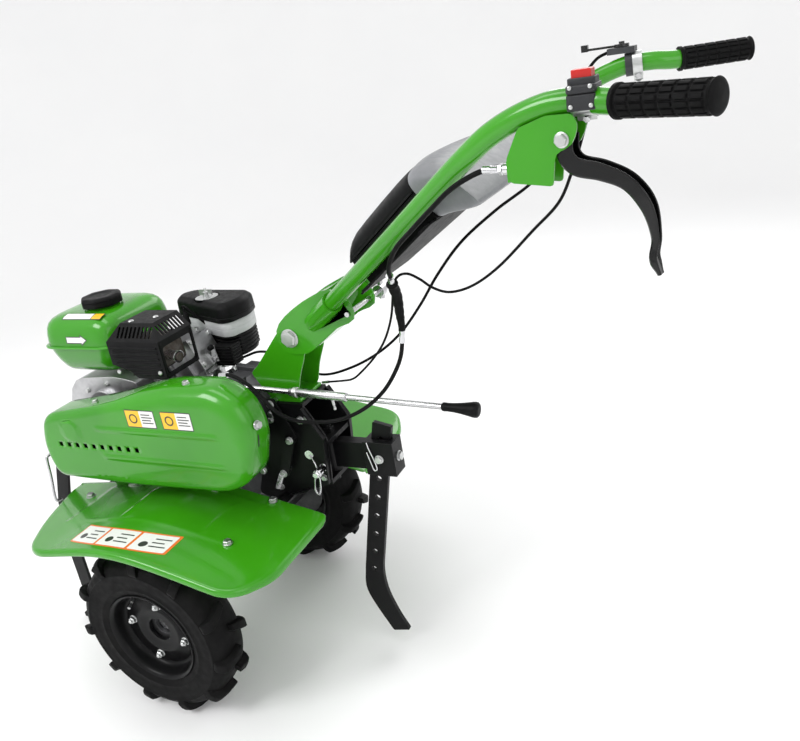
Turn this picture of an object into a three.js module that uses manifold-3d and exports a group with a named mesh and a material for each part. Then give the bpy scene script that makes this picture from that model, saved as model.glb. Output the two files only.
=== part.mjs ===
// Walk-behind mini cultivator: petrol engine, belt drive, chain gearbox and adjustable handlebar.
// Millimetres. X runs rearwards to the handles, Y to the operator's right, Z up from the floor.
// Working X is measured from the wheel axle; the whole group is shifted at the end.
import * as THREE from "three";
import { ConvexGeometry } from "three/addons/geometries/ConvexGeometry.js";
import { mergeVertices } from "three/addons/utils/BufferGeometryUtils.js";
import Module from "manifold-3d";

const wasm = await Module();
wasm.setup();

// ---------------------------------------------------------------- driving dimensions
const GAP = 0.3; // running gap between neighbouring pieces
const WHEEL_RADIUS = 203; // over the lugs
const HALF_TRACK = 288; // tyre centre plane
const TYRE_WIDTH = 94;
const BEAD_RADIUS = 103;
const BOLT_CIRCLE = 68.5;
const WHEEL_BOLT_PHASE = -0.24; // radians from straight rearwards
const LUGS = 11; // per side of each tyre
const AXLE = { x: 0, z: WHEEL_RADIUS };
const INPUT = { x: 150, z: 612 }; // gearbox input shaft
const CRANK = { x: -180, z: 625 }; // engine crankshaft
const CYLINDER_TILT = 25; // degrees above level
const ENGINE_BASE = 519;
const RAIL = { y: 68, width: 30, low: 479, high: ENGINE_BASE - GAP, front: -385, rear: 170 };
const CASE_HALF_WIDTH = 46;
const BELT_Y = -176; // centre plane of the belt
const SHIFT = { from: [158, -62, 676.5], to: [634, -62, 652] }; // shift rod's ends
const PIVOT = { x: 315, z: 780 }; // handlebar height adjustment
const TUBE_RADIUS = 16;
const GRIP_START = [1016, -304, 1182];
const GRIP_END = [1126, -360, 1181];
const TUBE_FOOT = [370, -34, 809];
const TUBE_KNEE = [800, -246, 1125];
const TRAY_ANGLE = 36.3; // slope of the handlebar tubes, degrees
const COULTER_LEAN = 12.8; // degrees, top to the rear
const STAND_PIVOT = { x: -372, z: 497 };
const ORIGIN_SHIFT_X = -327; // puts the origin at the middle of the bounding box

const COLOURS = {
  green: 0x3fae22,
  black: 0x141516,
  steel: 0xb9bcc0,
  zinc: 0xa8abae,
  iron: 0x3a3d3f,
  cast: 0x9b9d9e,
  rubber: 0x17171a,
  grey: 0x8f9296,
  light: 0xb9bcbd,
  plastic: 0x1b1c1e,
  red: 0xb32626,
  amber: 0xb86a1c,
};

// ---------------------------------------------------------------- solids from three.js shapes
const radians = THREE.MathUtils.degToRad;
const vector = (p) => new THREE.Vector3(...p);

// A three.js geometry, placed by a matrix, as a closed manifold solid.
function solid(geometry, matrix = new THREE.Matrix4()) {
  const bare = (geometry.index ? geometry.toNonIndexed() : geometry.clone()).applyMatrix4(matrix);
  bare.deleteAttribute("normal");
  bare.deleteAttribute("uv");
  const merged = mergeVertices(bare, 1e-3);
  const source = merged.index.array;
  const place = merged.attributes.position.array;
  const faces = [];
  let volume = 0;
  const corner = (i) => vector([place[3 * i], place[3 * i + 1], place[3 * i + 2]]);
  for (let i = 0; i < source.length; i += 3) {
    const [a, b, c] = [source[i], source[i + 1], source[i + 2]];
    if (a === b || b === c || a === c) continue;
    faces.push(a, b, c);
    volume += corner(a).dot(corner(b).cross(corner(c)));
  }
  if (volume < 0) {
    for (let i = 0; i < faces.length; i += 3) {
      [faces[i + 1], faces[i + 2]] = [faces[i + 2], faces[i + 1]];
    }
  }
  const mesh = new wasm.Mesh({
    numProp: 3,
    vertProperties: place,
    triVerts: new Uint32Array(faces),
  });
  return new wasm.Manifold(mesh);
}

const join = (...parts) => parts.reduce((whole, part) => whole.add(part));
const cut = (body, ...tools) => tools.reduce((rest, tool) => rest.subtract(tool), body);

function block(x0, x1, y0, y1, z0, z1) {
  const box = new THREE.BoxGeometry(x1 - x0, y1 - y0, z1 - z0);
  return solid(box.translate((x0 + x1) / 2, (y0 + y1) / 2, (z0 + z1) / 2));
}

// A rod of any radius pair between two points.
function rod(from, to, radius, sides = 20, endRadius = radius) {
  const [a, b] = [vector(from), vector(to)];
  const along = b.clone().sub(a);
  const turn = new THREE.Quaternion().setFromUnitVectors(
    new THREE.Vector3(0, 1, 0),
    along.clone().normalize(),
  );
  const middle = a.add(b).multiplyScalar(0.5);
  const matrix = new THREE.Matrix4().compose(middle, turn, new THREE.Vector3(1, 1, 1));
  return solid(new THREE.CylinderGeometry(endRadius, radius, along.length(), sides), matrix);
}

const rodY = (centre, y0, y1, radius, sides) =>
  rod([centre.x, y0, centre.z], [centre.x, y1, centre.z], radius, sides);

// Local shape axes (u, v, depth) laid on the world: "side" is XZ, "plan" is XY, "front" is YZ.
const BASES = {
  side: [[1, 0, 0], [0, 0, 1], [0, -1, 0]],
  plan: [[1, 0, 0], [0, 1, 0], [0, 0, 1]],
  front: [[0, 1, 0], [0, 0, 1], [1, 0, 0]],
};

function shapeOf(points) {
  return new THREE.Shape(points.map(([u, v]) => new THREE.Vector2(u, v)));
}

// An outline extruded from low to high across the named plane, with optional rounded rims.
function plate(plane, points, low, high, bevel = null) {
  const inset = bevel ? bevel.depth : 0;
  const options = { depth: high - low - 2 * inset, steps: 1, bevelEnabled: Boolean(bevel) };
  if (bevel) {
    options.bevelThickness = bevel.depth;
    options.bevelSize = bevel.size;
    options.bevelOffset = -bevel.size - (bevel.shrink || 0);
    options.bevelSegments = bevel.segments || 3;
  }
  const geometry = new THREE.ExtrudeGeometry(shapeOf(points), options);
  const [u, v, w] = BASES[plane].map(vector);
  const start = plane === "side" ? -(high - inset) : low + inset;
  const matrix = new THREE.Matrix4().makeBasis(u, v, w);
  matrix.setPosition(w.clone().multiplyScalar(start));
  return solid(geometry, matrix);
}

// A profile of [radius, distance along Y] pairs turned about the Y line through a centre.
function turned(profile, centre = { x: 0, z: 0 }, segments = 32) {
  const points = profile.map(([radius, along]) => new THREE.Vector2(radius, along));
  const geometry = new THREE.LatheGeometry([...points, points[0]], segments);
  return solid(geometry.translate(centre.x, 0, centre.z));
}

// The same, turned about the line from one point towards another.
function turnedAlong(profile, from, to, segments = 24) {
  const points = profile.map(([radius, along]) => new THREE.Vector2(radius, along));
  const direction = vector(to).sub(vector(from)).normalize();
  const turn = new THREE.Quaternion().setFromUnitVectors(new THREE.Vector3(0, 1, 0), direction);
  const matrix = new THREE.Matrix4().compose(vector(from), turn, new THREE.Vector3(1, 1, 1));
  return solid(new THREE.LatheGeometry([...points, points[0]], segments), matrix);
}

function circle(radius, sides, cx = 0, cy = 0, phase = 0) {
  return Array.from({ length: sides }, (_, i) => {
    const angle = phase + (2 * Math.PI * i) / sides;
    return [cx + radius * Math.cos(angle), cy + radius * Math.sin(angle)];
  });
}

// A round section swept along a smooth curve through the points.
function tube(points, radius, { sides = 10, steps = 24, bore = 0, tension = 0.5 } = {}) {
  const curve = new THREE.CatmullRomCurve3(points.map(vector), false, "catmullrom", tension);
  const section = shapeOf(circle(radius, sides));
  if (bore) section.holes.push(new THREE.Path(shapeOf(circle(bore, sides)).getPoints()));
  return solid(
    new THREE.ExtrudeGeometry(section, { steps, extrudePath: curve, bevelEnabled: false }),
  );
}

// A polygon whose corners are rounded with arcs of up to the given radius.
function rounded(points, radius, arcSteps = 3) {
  const count = points.length;
  const outline = [];
  points.forEach(([x, y, own], i) => {
    const here = new THREE.Vector2(x, y);
    const before = new THREE.Vector2(...points[(i + count - 1) % count].slice(0, 2)).sub(here);
    const after = new THREE.Vector2(...points[(i + 1) % count].slice(0, 2)).sub(here);
    const reach = Math.min(own ?? radius, before.length() * 0.48, after.length() * 0.48);
    const start = here.clone().add(before.setLength(reach));
    const end = here.clone().add(after.setLength(reach));
    const bend = new THREE.QuadraticBezierCurve(start, here, end);
    bend.getPoints(arcSteps).forEach((p) => outline.push([p.x, p.y]));
  });
  return outline;
}

// A convex counter-clockwise polygon with every edge moved inwards.
function inset(points, distance) {
  const edges = points.map((p, i) => {
    const q = points[(i + 1) % points.length];
    const length = Math.hypot(q[0] - p[0], q[1] - p[1]);
    const [dx, dy] = [(q[0] - p[0]) / length, (q[1] - p[1]) / length];
    return { x: p[0] - dy * distance, y: p[1] + dx * distance, dx, dy };
  });
  return edges.map((edge, i) => {
    const last = edges[(i + edges.length - 1) % edges.length];
    const cross = last.dx * edge.dy - last.dy * edge.dx;
    const along = ((edge.x - last.x) * edge.dy - (edge.y - last.y) * edge.dx) / cross;
    return [last.x + last.dx * along, last.y + last.dy * along];
  });
}

// A convex body from a plan polygon: each layer is [height, distance the plan is inset].
function layered(points, layers, radius) {
  const cloud = layers.flatMap(([z, distance]) =>
    rounded(inset(points, distance), radius - distance * 0.4, 3).map(
      ([x, y]) => new THREE.Vector3(x, y, z),
    ),
  );
  return solid(new ConvexGeometry(cloud));
}

// The outline of a band stretched round two circles in the side plane.
function bandOutline(a, radiusA, b, radiusB, arcSteps = 6) {
  const length = Math.hypot(b.x - a.x, b.z - a.z);
  const heading = Math.atan2(b.z - a.z, b.x - a.x);
  const lean = Math.acos((radiusA - radiusB) / length);
  const outline = [];
  const arc = (centre, radius, start, end) => {
    for (let i = 0; i <= arcSteps; i += 1) {
      const angle = start + ((end - start) * i) / arcSteps;
      outline.push([centre.x + radius * Math.cos(angle), centre.z + radius * Math.sin(angle)]);
    }
  };
  arc(a, radiusA, heading + lean, heading + 2 * Math.PI - lean);
  arc(b, radiusB, heading - lean, heading + lean);
  return outline;
}

function mirrorY(body) {
  return body.mirror([0, 1, 0]);
}

// Places a piece built about the origin into a local frame.
function placed(body, matrix) {
  return body.transform(matrix.elements);
}

const part = new THREE.Group();
part.name = "mini_cultivator";

function addNode(name, body, colour, roughness = 0.5, metalness = 0) {
  const made = body.getMesh();
  const geometry = new THREE.BufferGeometry();
  const places = Float32Array.from(made.vertProperties);
  geometry.setAttribute("position", new THREE.BufferAttribute(places, made.numProp));
  geometry.setIndex(new THREE.BufferAttribute(Uint32Array.from(made.triVerts), 1));
  const flat = geometry.toNonIndexed();
  flat.computeVertexNormals();
  const material = new THREE.MeshStandardMaterial({ color: colour, roughness, metalness });
  const mesh = new THREE.Mesh(flat, material);
  mesh.name = name;
  part.add(mesh);
}

// ---------------------------------------------------------------- wheels and axle
function tyre() {
  const half = TYRE_WIDTH / 2;
  const carcass = turned(
    [
      [BEAD_RADIUS + 1, -half * 0.72],
      [152, -half],
      [179, -half * 0.8],
      [188, 0],
      [179, half * 0.8],
      [152, half],
      [BEAD_RADIUS + 1, half * 0.72],
      [BEAD_RADIUS + 12, 0],
    ],
    undefined,
    LUGS * 2,
  );
  // A lug seen from above its patch of tread: rows run from the centre line to the shoulder.
  const corner = (x, y, radius) => new THREE.Vector3(x, y, Math.sqrt(radius * radius - x * x));
  const lug = solid(
    new ConvexGeometry([
      corner(-17, -4, WHEEL_RADIUS),
      corner(-1, -4, WHEEL_RADIUS),
      corner(24, half - 4, WHEEL_RADIUS - 8),
      corner(3, half - 4, WHEEL_RADIUS - 8),
      corner(-17, -4, 182),
      corner(-1, -4, 182),
      corner(27, half + 3, 172),
      corner(2, half + 3, 172),
    ]),
  );
  const lugs = [];
  for (const side of [-1, 1]) {
    const row = side < 0 ? mirrorY(lug) : lug;
    for (let i = 0; i < LUGS; i += 1) {
      const angle = (2 * Math.PI * (i + (side > 0 ? 0.5 : 0))) / LUGS;
      lugs.push(placed(row, new THREE.Matrix4().makeRotationY(angle)));
    }
  }
  return join(carcass, ...lugs);
}

// The rim's outside shell, from the outer bead flange to the wheel disc and the inner flange.
function rimBody() {
  const half = TYRE_WIDTH / 2;
  const seat = BEAD_RADIUS - GAP;
  const shell = turned(
    [
      [seat - 4, -half * 0.92],
      [seat + 7, -half * 0.92],
      [seat, -half * 0.76],
      [seat, half * 0.76],
      [seat + 7, half * 0.92],
      [seat - 4, half * 0.92],
      [seat - 4, 10],
      [54, 13],
      [47, 5],
      [26, 5],
      [26, 1],
      [50, 1],
      [57, 9],
      [seat - 4, 6],
    ],
    undefined,
    24,
  );
  const holes = circle(BOLT_CIRCLE, 4, 0, 0, WHEEL_BOLT_PHASE);
  return cut(shell, ...holes.map(([x, z]) => rodY({ x, z }, -2, 20, 5, 8)));
}

function hub() {
  const profile = [
    [19.2, -96],
    [27, -96],
    [27, -6],
    [80, -6],
    [80, 0.7],
    [19.2, 0.7],
  ];
  return turned(profile, undefined, 24);
}

function atWheel(body, side) {
  const outward = side < 0 ? mirrorY(body) : body;
  return outward.translate([AXLE.x, side * HALF_TRACK, AXLE.z]);
}

function hexAxle() {
  const points = circle(18.5, 6, AXLE.x, AXLE.z);
  return plate("side", points, -HALF_TRACK + 8, HALF_TRACK - 8);
}

// A flat sprocket or gear blank with triangular teeth.
function toothed(centre, inner, outer, teeth, y0, y1) {
  const outline = [];
  for (let i = 0; i < teeth; i += 1) {
    for (const [fraction, radius] of [[0, inner], [0.3, outer], [0.5, outer], [0.8, inner]]) {
      const angle = (2 * Math.PI * (i + fraction)) / teeth;
      outline.push([centre.x + radius * Math.cos(angle), centre.z + radius * Math.sin(angle)]);
    }
  }
  return plate("side", outline, y0, y1);
}

for (const [side, word] of [[-1, "left"], [1, "right"]]) {
  addNode(`tyre_${word}`, atWheel(tyre(), side), COLOURS.rubber, 0.85);
  addNode(`rim_${word}`, atWheel(rimBody(), side), COLOURS.black, 0.45, 0.3);
  addNode(`hub_${word}`, atWheel(hub(), side), COLOURS.iron, 0.5, 0.6);
}

// ---------------------------------------------------------------- chain gearbox
const caseOutline = (grow) => bandOutline(AXLE, 58 + grow, INPUT, 78 + grow);

function casingHalf(side) {
  const shell = join(
    plate("side", caseOutline(0), GAP / 2, CASE_HALF_WIDTH),
    plate("side", caseOutline(10), GAP / 2, 8),
    rodY(AXLE, CASE_HALF_WIDTH - 2, 74, 34, 28),
    rodY(INPUT, CASE_HALF_WIDTH - 2, side < 0 ? 66 : 54, 36, 28),
    block(96, 150, CASE_HALF_WIDTH - 2, RAIL.y - RAIL.width / 2 - GAP, 482, 512),
  );
  const pocket = plate("side", caseOutline(-7), -1, CASE_HALF_WIDTH - 7);
  const inputBore = rodY(INPUT, 0, side < 0 ? 80 : 48, 14.3, 20);
  const body = cut(shell, pocket, rodY(AXLE, 0, 80, 19.2, 24), inputBore);
  if (side > 0) return body;
  const selectorBoss = block(126, 182, CASE_HALF_WIDTH - 2, 76, 660, 692);
  const along = (reach) => vector(SHIFT.from).lerp(vector(SHIFT.to), reach).setY(-SHIFT.from[1]);
  const selectorBore = rod(along(-0.05).toArray(), along(0.1).toArray(), 6.4, 14);
  return mirrorY(cut(join(body, selectorBoss), selectorBore, pocket));
}

addNode("gearbox_case_left", casingHalf(-1), COLOURS.iron, 0.55, 0.4);
addNode("gearbox_case_right", casingHalf(1), COLOURS.iron, 0.55, 0.4);

const SPROCKET_Y = 6; // half thickness of the sprockets
const smallSprocket = toothed(INPUT, 22, 27, 10, -SPROCKET_Y, SPROCKET_Y);
const largeSprocket = toothed(AXLE, 36, 41, 16, -SPROCKET_Y, SPROCKET_Y);
addNode("axle_shaft", join(hexAxle(), largeSprocket), COLOURS.steel, 0.35, 0.9);
addNode("input_shaft", join(rodY(INPUT, -206, 46, 14, 20), smallSprocket), COLOURS.steel, 0.35, 0.9);
addNode(
  "drive_chain",
  cut(
    plate("side", bandOutline(AXLE, 48, INPUT, 34, 10), -8, 8),
    plate("side", bandOutline(AXLE, 42.4, INPUT, 28.4, 10), -9, 9),
  ),
  COLOURS.iron,
  0.5,
  0.7,
);

// ---------------------------------------------------------------- belt drive
// A V pulley: radius over the rim, radius of the shaft, and the bore clearance.
function pulley(centre, radius, bore) {
  const groove = radius - 12;
  const half = 11;
  return turned(
    [
      [bore, -half],
      [radius, -half],
      [radius, -half + 2],
      [groove, -5.6],
      [groove, 5.6],
      [radius, half - 2],
      [radius, half],
      [bore, half],
    ],
    centre,
    30,
  ).translate([0, BELT_Y, 0]);
}

const DRIVEN_RADIUS = 96;
const DRIVE_RADIUS = 42;
addNode("driven_pulley", pulley(INPUT, DRIVEN_RADIUS, 14.2), COLOURS.iron, 0.5, 0.6);
addNode("drive_pulley", pulley(CRANK, DRIVE_RADIUS, 12.2), COLOURS.iron, 0.5, 0.6);
addNode(
  "v_belt",
  cut(
    plate("side", bandOutline(CRANK, DRIVE_RADIUS - 1, INPUT, DRIVEN_RADIUS - 1, 12), -5, 5),
    plate("side", bandOutline(CRANK, DRIVE_RADIUS - 11, INPUT, DRIVEN_RADIUS - 11, 12), -6, 6),
  ).translate([0, BELT_Y, 0]),
  COLOURS.rubber,
  0.8,
);

const ARM_PIVOT = { x: 4, z: 524 };
const IDLER = { x: -95, z: 540 };
const tensionerArm = cut(
  join(
    plate("side", bandOutline(ARM_PIVOT, 11, IDLER, 11, 6), -164.6, -160),
    rodY(IDLER, -185, -160, 5, 14),
    rodY(ARM_PIVOT, -164.6, -152, 10, 16),
  ),
  rodY(ARM_PIVOT, -170, -150, 6.3, 14),
);
addNode("tensioner_arm", tensionerArm, COLOURS.zinc, 0.4, 0.8);
addNode(
  "idler_pulley",
  turned([[5.3, -9], [20, -9], [18, -6], [18, 6], [20, 9], [5.3, 9]], IDLER, 24).translate([
    0,
    BELT_Y,
    0,
  ]),
  COLOURS.iron,
  0.5,
  0.6,
);

// The pressed cover's face, front to rear; each corner is rounded.
const COVER_OUTLINE = [
  [-268, 503, 30],
  [-287, 575, 60],
  [-262, 656, 40],
  [-190, 669, 60],
  [-60, 691, 90],
  [70, 731, 60],
  [215, 735, 60],
  [270, 706, 40],
  [292, 640, 60],
  [262, 534, 50],
  [200, 506, 40],
  [-40, 500, 60],
];
const COVER = { near: -212, back: -140, wall: 2.5 };
const SLOTS = { count: 10, first: -226, pitch: 24, size: 11, z: 592 };

function beltCover() {
  const outline = rounded(COVER_OUTLINE, 40, 3);
  const rim = { depth: 14, size: 14, segments: 2 };
  const inner = { ...rim, segments: 1, shrink: COVER.wall };
  const beyond = COVER.back + 30;
  const outside = plate("side", outline, COVER.near, beyond, rim);
  const inside = plate("side", outline, COVER.near + COVER.wall, beyond + COVER.wall, inner);
  const openBack = block(-400, 400, COVER.back, 0, 400, 800);
  const shell = cut(outside, inside, openBack);
  const slots = Array.from({ length: SLOTS.count }, (_, i) => {
    const x = SLOTS.first + i * SLOTS.pitch;
    return block(x, x + SLOTS.size, -220, -190, SLOTS.z - SLOTS.size / 2, SLOTS.z + SLOTS.size / 2);
  });
  const blister = turned([[0, -215], [24, -215], [30, -208], [30, -205], [0, -205]], CRANK, 20);
  const rib = (x0, x1, z) =>
    plate(
      "front",
      [
        [-214, z - 1],
        [-210, z - 5],
        [-210, z + 5],
        [-214, z + 1],
      ],
      x0,
      x1,
    );
  return cut(join(shell, blister, rib(-108, 216, 636), rib(-130, 216, 570)), ...slots);
}

function coverBackplate() {
  const outline = rounded(COVER_OUTLINE, 40, 2);
  const sheet = plate("side", outline, COVER.back + GAP, COVER.back + GAP + 3);
  const pin = rodY(ARM_PIVOT, -168, -137, 6, 14);
  const openings = [
    rodY(INPUT, -150, -120, 50, 16),
    rodY(CRANK, -150, -120, 40, 16),
  ];
  return join(cut(sheet, ...openings), pin);
}

addNode("belt_cover", beltCover(), COLOURS.green, 0.3);
addNode("cover_backplate", coverBackplate(), COLOURS.black, 0.5, 0.3);

// ---------------------------------------------------------------- frame, fenders and front stand
function chassis() {
  const rails = [-1, 1].map((side) => {
    const y = side * RAIL.y;
    const half = RAIL.width / 2;
    return block(RAIL.front, RAIL.rear, y - half, y + half, RAIL.low, RAIL.high);
  });
  const bars = [
    block(RAIL.front, RAIL.front + 30, -92, 92, RAIL.low, RAIL.high),
    block(-210, -170, -RAIL.y, RAIL.y, RAIL.low, RAIL.low + 8),
    block(-80, -40, -RAIL.y, RAIL.y, RAIL.low, RAIL.low + 8),
  ];
  const coverTabs = [-250, -30].map((x) =>
    block(x - 14, x + 14, COVER.back + 3 + 2 * GAP, -RAIL.y, RAIL.high - 12, RAIL.high),
  );
  const lugs = [-1, 1].map((side) =>
    block(RAIL.front - 14, RAIL.front + 1, side * 88 - 4, side * 88 + 4, RAIL.low, RAIL.high),
  );
  const standPin = rodY(STAND_PIVOT, -116, 116, 6, 14);
  const stay = fenderStay(-248, 200, 68, RAIL.low + 2);
  return join(...rails, ...bars, ...coverTabs, ...lugs, standPin, stay);
}

// Height of the fender's top surface along X.
const ARCH = new THREE.CatmullRomCurve3(
  [
    [-356, 0, 410],
    [-190, 0, 430],
    [20, 0, 457],
    [270, 0, 415],
    [350, 0, 396],
  ].map(vector),
);

function archBand(top, bottom) {
  const line = ARCH.getPoints(10);
  const upper = line.map((p) => [p.x, p.z + top]);
  const lower = line.map((p) => [p.x, p.z + bottom]).reverse();
  return plate("side", [...upper, ...lower], 60, 420);
}

const FENDER_PLAN = [
  [-350, 92, 8],
  [-350, 130, 20],
  [-300, 262, 60],
  [-225, 376, 60],
  [-120, 378, 60],
  [60, 380, 80],
  [300, 384, 60],
  [342, 300, 30],
  [342, 88, 12],
];

function fender(side) {
  const outline = rounded(FENDER_PLAN, 40, 3);
  const wide = plate("plan", outline, 380, 480);
  const lipInner = plate("plan", outline, 370, 490, { depth: 1, size: 0.01, shrink: 2.5, segments: 1 });
  const inboard = block(-352, 352, 80, 100, 350, 500);
  const lip = cut(wide, lipInner, inboard).intersect(archBand(0, -16));
  const ribs = [-60, 150].map((x) => block(x, x + 12, 150, 330, 380, 480).intersect(archBand(2, -1)));
  const body = join(wide.intersect(archBand(0, -2.5)), lip, ...ribs);
  return side < 0 ? mirrorY(body) : body;
}

const archAt = (x) => {
  const t = ARCH.getPoints(200).reduce((best, p) => (Math.abs(p.x - x) < Math.abs(best.x - x) ? p : best));
  return t.z;
};

// A cross bar under the fenders with two posts; the posts meet the carrier's underside.
function fenderStay(x, reach, postY, postTop) {
  const under = Math.min(archAt(x - 15), archAt(x + 15)) - 2.5 - GAP;
  const posts = [-1, 1].map((side) =>
    block(x - 15, x + 15, side * postY - 4, side * postY + 4, under - 5, postTop),
  );
  return join(block(x - 15, x + 15, -reach, reach, under - 5, under), ...posts);
}

function standLeg(side) {
  const centre = [
    [STAND_PIVOT.x, STAND_PIVOT.z],
    [-430, 345],
    [-452, 240],
    [-455, 12],
  ];
  const half = 19;
  const front = centre.map(([x, z]) => [x - half, z]);
  const back = centre.map(([x, z]) => [x + half, z]).reverse();
  front[0][1] += 12;
  back[back.length - 1][1] += 12;
  return plate("side", rounded([...front, ...back], 10, 2), side * 99 - 4, side * 99 + 4);
}

function frontStand() {
  const foot = join(block(-476, -434, -120, 120, 0, 12), block(-459, -451, -96, 96, 200, 240));
  const body = join(standLeg(-1), standLeg(1), foot);
  return cut(body, rodY(STAND_PIVOT, -130, 130, 6.4, 14));
}

addNode("chassis", chassis(), COLOURS.black, 0.45, 0.3);
addNode("fender_left", fender(-1), COLOURS.green, 0.3);
addNode("fender_right", fender(1), COLOURS.green, 0.3);
addNode("front_stand", frontStand(), COLOURS.black, 0.45, 0.3);

// ---------------------------------------------------------------- hitch and coulter
const HITCH_PIN = { x: 326, z: 500 };
const caseClearance = () =>
  join(
    plate("side", caseOutline(GAP), -CASE_HALF_WIDTH - GAP, CASE_HALF_WIDTH + GAP),
    plate("side", caseOutline(10 + GAP), -8 - GAP, 8 + GAP),
  );

function hitchBracket() {
  const outline = rounded(
    [
      [150, 408],
      [196, 400],
      [290, 432],
      [346, 452],
      [356, 560],
      [312, 636],
      [236, 636],
      [206, 560],
    ],
    14,
    2,
  );
  const sides = [-1, 1].map((side) =>
    plate("side", outline, side < 0 ? -51.5 : 47, side < 0 ? -47 : 51.5),
  );
  const webs = [
    block(236, 312, -50, 50, 628, 636),
    block(250, 352, -50, 50, 540, 550),
    block(236, 346, -50, 50, 450, 460),
    block(208, 216, -50, 50, 460, 560),
  ];
  const pin = join(
    rod([HITCH_PIN.x, 0, 434], [HITCH_PIN.x, 0, 566], 9, 18),
    rod([HITCH_PIN.x, 0, 549], [HITCH_PIN.x, 0, 561], 15, 6),
  );
  return cut(join(...sides, ...webs, rearStay(), pin), caseClearance());
}

const lean = new THREE.Matrix4()
  .makeTranslation(454, 0, 541)
  .multiply(new THREE.Matrix4().makeRotationY(radians(COULTER_LEAN)));
const BAR = { half: 22, thick: 6, top: 36, bend: -345, holes: 8, pitch: 49 };

// The coulter bar in its own upright frame: straight shank, then a blade curved to the rear.
function coulterBar(grow = 0) {
  const w = BAR.half + grow;
  const outline = [
    [-w, BAR.top + grow],
    [w, BAR.top + grow],
    [w, BAR.bend],
    [w + 14, BAR.bend - 52],
    [w + 46, BAR.bend - 104],
    [w + 76, BAR.bend - 142],
    [w + 36, BAR.bend - 160],
    [w - 8, BAR.bend - 108],
    [-w + 2, BAR.bend - 62],
    [-w, BAR.bend],
  ];
  return plate("side", outline, -BAR.thick - grow, BAR.thick + grow);
}

function coulter() {
  const holes = Array.from({ length: BAR.holes }, (_, i) =>
    rodY({ x: 0, z: -i * BAR.pitch }, -20, 20, 5, 10),
  );
  return placed(cut(coulterBar(), ...holes), lean);
}

function drawbar() {
  const arm = join(
    block(HITCH_PIN.x - 4, 424, -13, 13, 472, 533),
    rod([HITCH_PIN.x, 0, 460.5], [HITCH_PIN.x, 0, 539.5], 20, 20),
    block(418, 486, -22, 22, 464, 541),
  );
  const shank = placed(block(-22.4, 22.4, -6.4, 6.4, -260, 200), lean);
  const setPin = placed(rodY({ x: 0, z: -BAR.pitch }, -40, 40, 4.9, 10), lean);
  return cut(arm, shank, rod([HITCH_PIN.x, 0, 430], [HITCH_PIN.x, 0, 570], 9.3, 18), setPin);
}

addNode("hitch_bracket", hitchBracket(), COLOURS.black, 0.5, 0.3);
addNode("drawbar", drawbar(), COLOURS.black, 0.5, 0.3);
addNode("coulter", coulter(), COLOURS.black, 0.5, 0.3);

function rearStay() {
  const x = 232;
  const under = Math.min(archAt(x - 15), archAt(x + 15)) - 2.5 - GAP;
  return block(x - 15, x + 15, -300, 300, under - 5, under);
}

// ---------------------------------------------------------------- engine
const towardsHead = (distance, y = 0, lift = 0) => {
  const tilt = radians(CYLINDER_TILT);
  return [
    CRANK.x + distance * Math.cos(tilt) - lift * Math.sin(tilt),
    y,
    CRANK.z + distance * Math.sin(tilt) + lift * Math.cos(tilt),
  ];
};
const cylinderFrame = new THREE.Matrix4()
  .makeTranslation(CRANK.x, 0, CRANK.z)
  .multiply(new THREE.Matrix4().makeRotationY(-radians(CYLINDER_TILT)));

function crankcase() {
  const outline = rounded(
    [
      [-288, 531, 14],
      [-296, 640, 40],
      [-262, 694, 30],
      [-140, 702, 20],
      [-76, 690, 10],
      [-66, 600, 20],
      [-82, 531, 14],
    ],
    20,
    2,
  );
  const body = join(
    plate("side", outline, -92, 88),
    block(-306, -60, -84, 84, ENGINE_BASE, 531.5),
    rodY(CRANK, -104, -90, 44, 28),
  );
  return cut(body, rodY(CRANK, -120, 100, 12.4, 20));
}

function cylinderBlock() {
  const core = block(104, 196, -40, 40, -44, 44);
  const fins = Array.from({ length: 7 }, (_, i) =>
    block(112 + i * 13, 116 + i * 13, -52, 44.5, -60, 58),
  );
  const head = block(195, 232, -46, 44, -52, 50);
  const cover = block(231, 262, -38, 38, -40, 36);
  const solidBlock = placed(join(core, ...fins, head, cover), cylinderFrame);
  return cut(solidBlock, block(-310, -65.5, -95, 95, 500, 710));
}

const TANK = { x0: -312, x1: -104, y0: -106, y1: 112, flange: 775, top: 842, bottom: 708 };

function fuelTank() {
  const { x0, x1, y0, y1, flange, top, bottom } = TANK;
  const plan = [
    [x0, y0],
    [x1, y0],
    [x1, y1],
    [x0, y1],
  ];
  const upper = layered(
    plan,
    [
      [flange, 0],
      [flange + 26, 3],
      [top - 16, 14],
      [top - 5, 30],
      [top, 52],
    ],
    70,
  );
  const lower = layered(
    plan,
    [
      [flange, 0],
      [bottom + 26, 10],
      [bottom, 34],
    ],
    70,
  );
  const flangeRim = plate("plan", rounded(inset(plan, -6), 74, 4), flange - 2, flange + 2);
  const neck = rod([FUEL_CAP.x, FUEL_CAP.y, top - 8], [FUEL_CAP.x, FUEL_CAP.y, top + 5], 30, 24);
  const recoilRoom = rodY(CRANK, 82, 140, 112.5, 26);
  return cut(join(upper, lower, flangeRim, neck), recoilRoom);
}

const FUEL_CAP = { x: -186, y: -16, low: 847.3, high: 868 };

function fuelCap() {
  const outline = rounded(circle(47, 8, FUEL_CAP.x, FUEL_CAP.y, Math.PI / 8), 12, 2);
  return plate("plan", outline, FUEL_CAP.low, FUEL_CAP.high, { depth: 5, size: 5, segments: 2 });
}

const GUARD = { x0: -66, x1: 72, y0: -150, y1: -44, low: 728, edge: 808, top: 840 };

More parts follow.
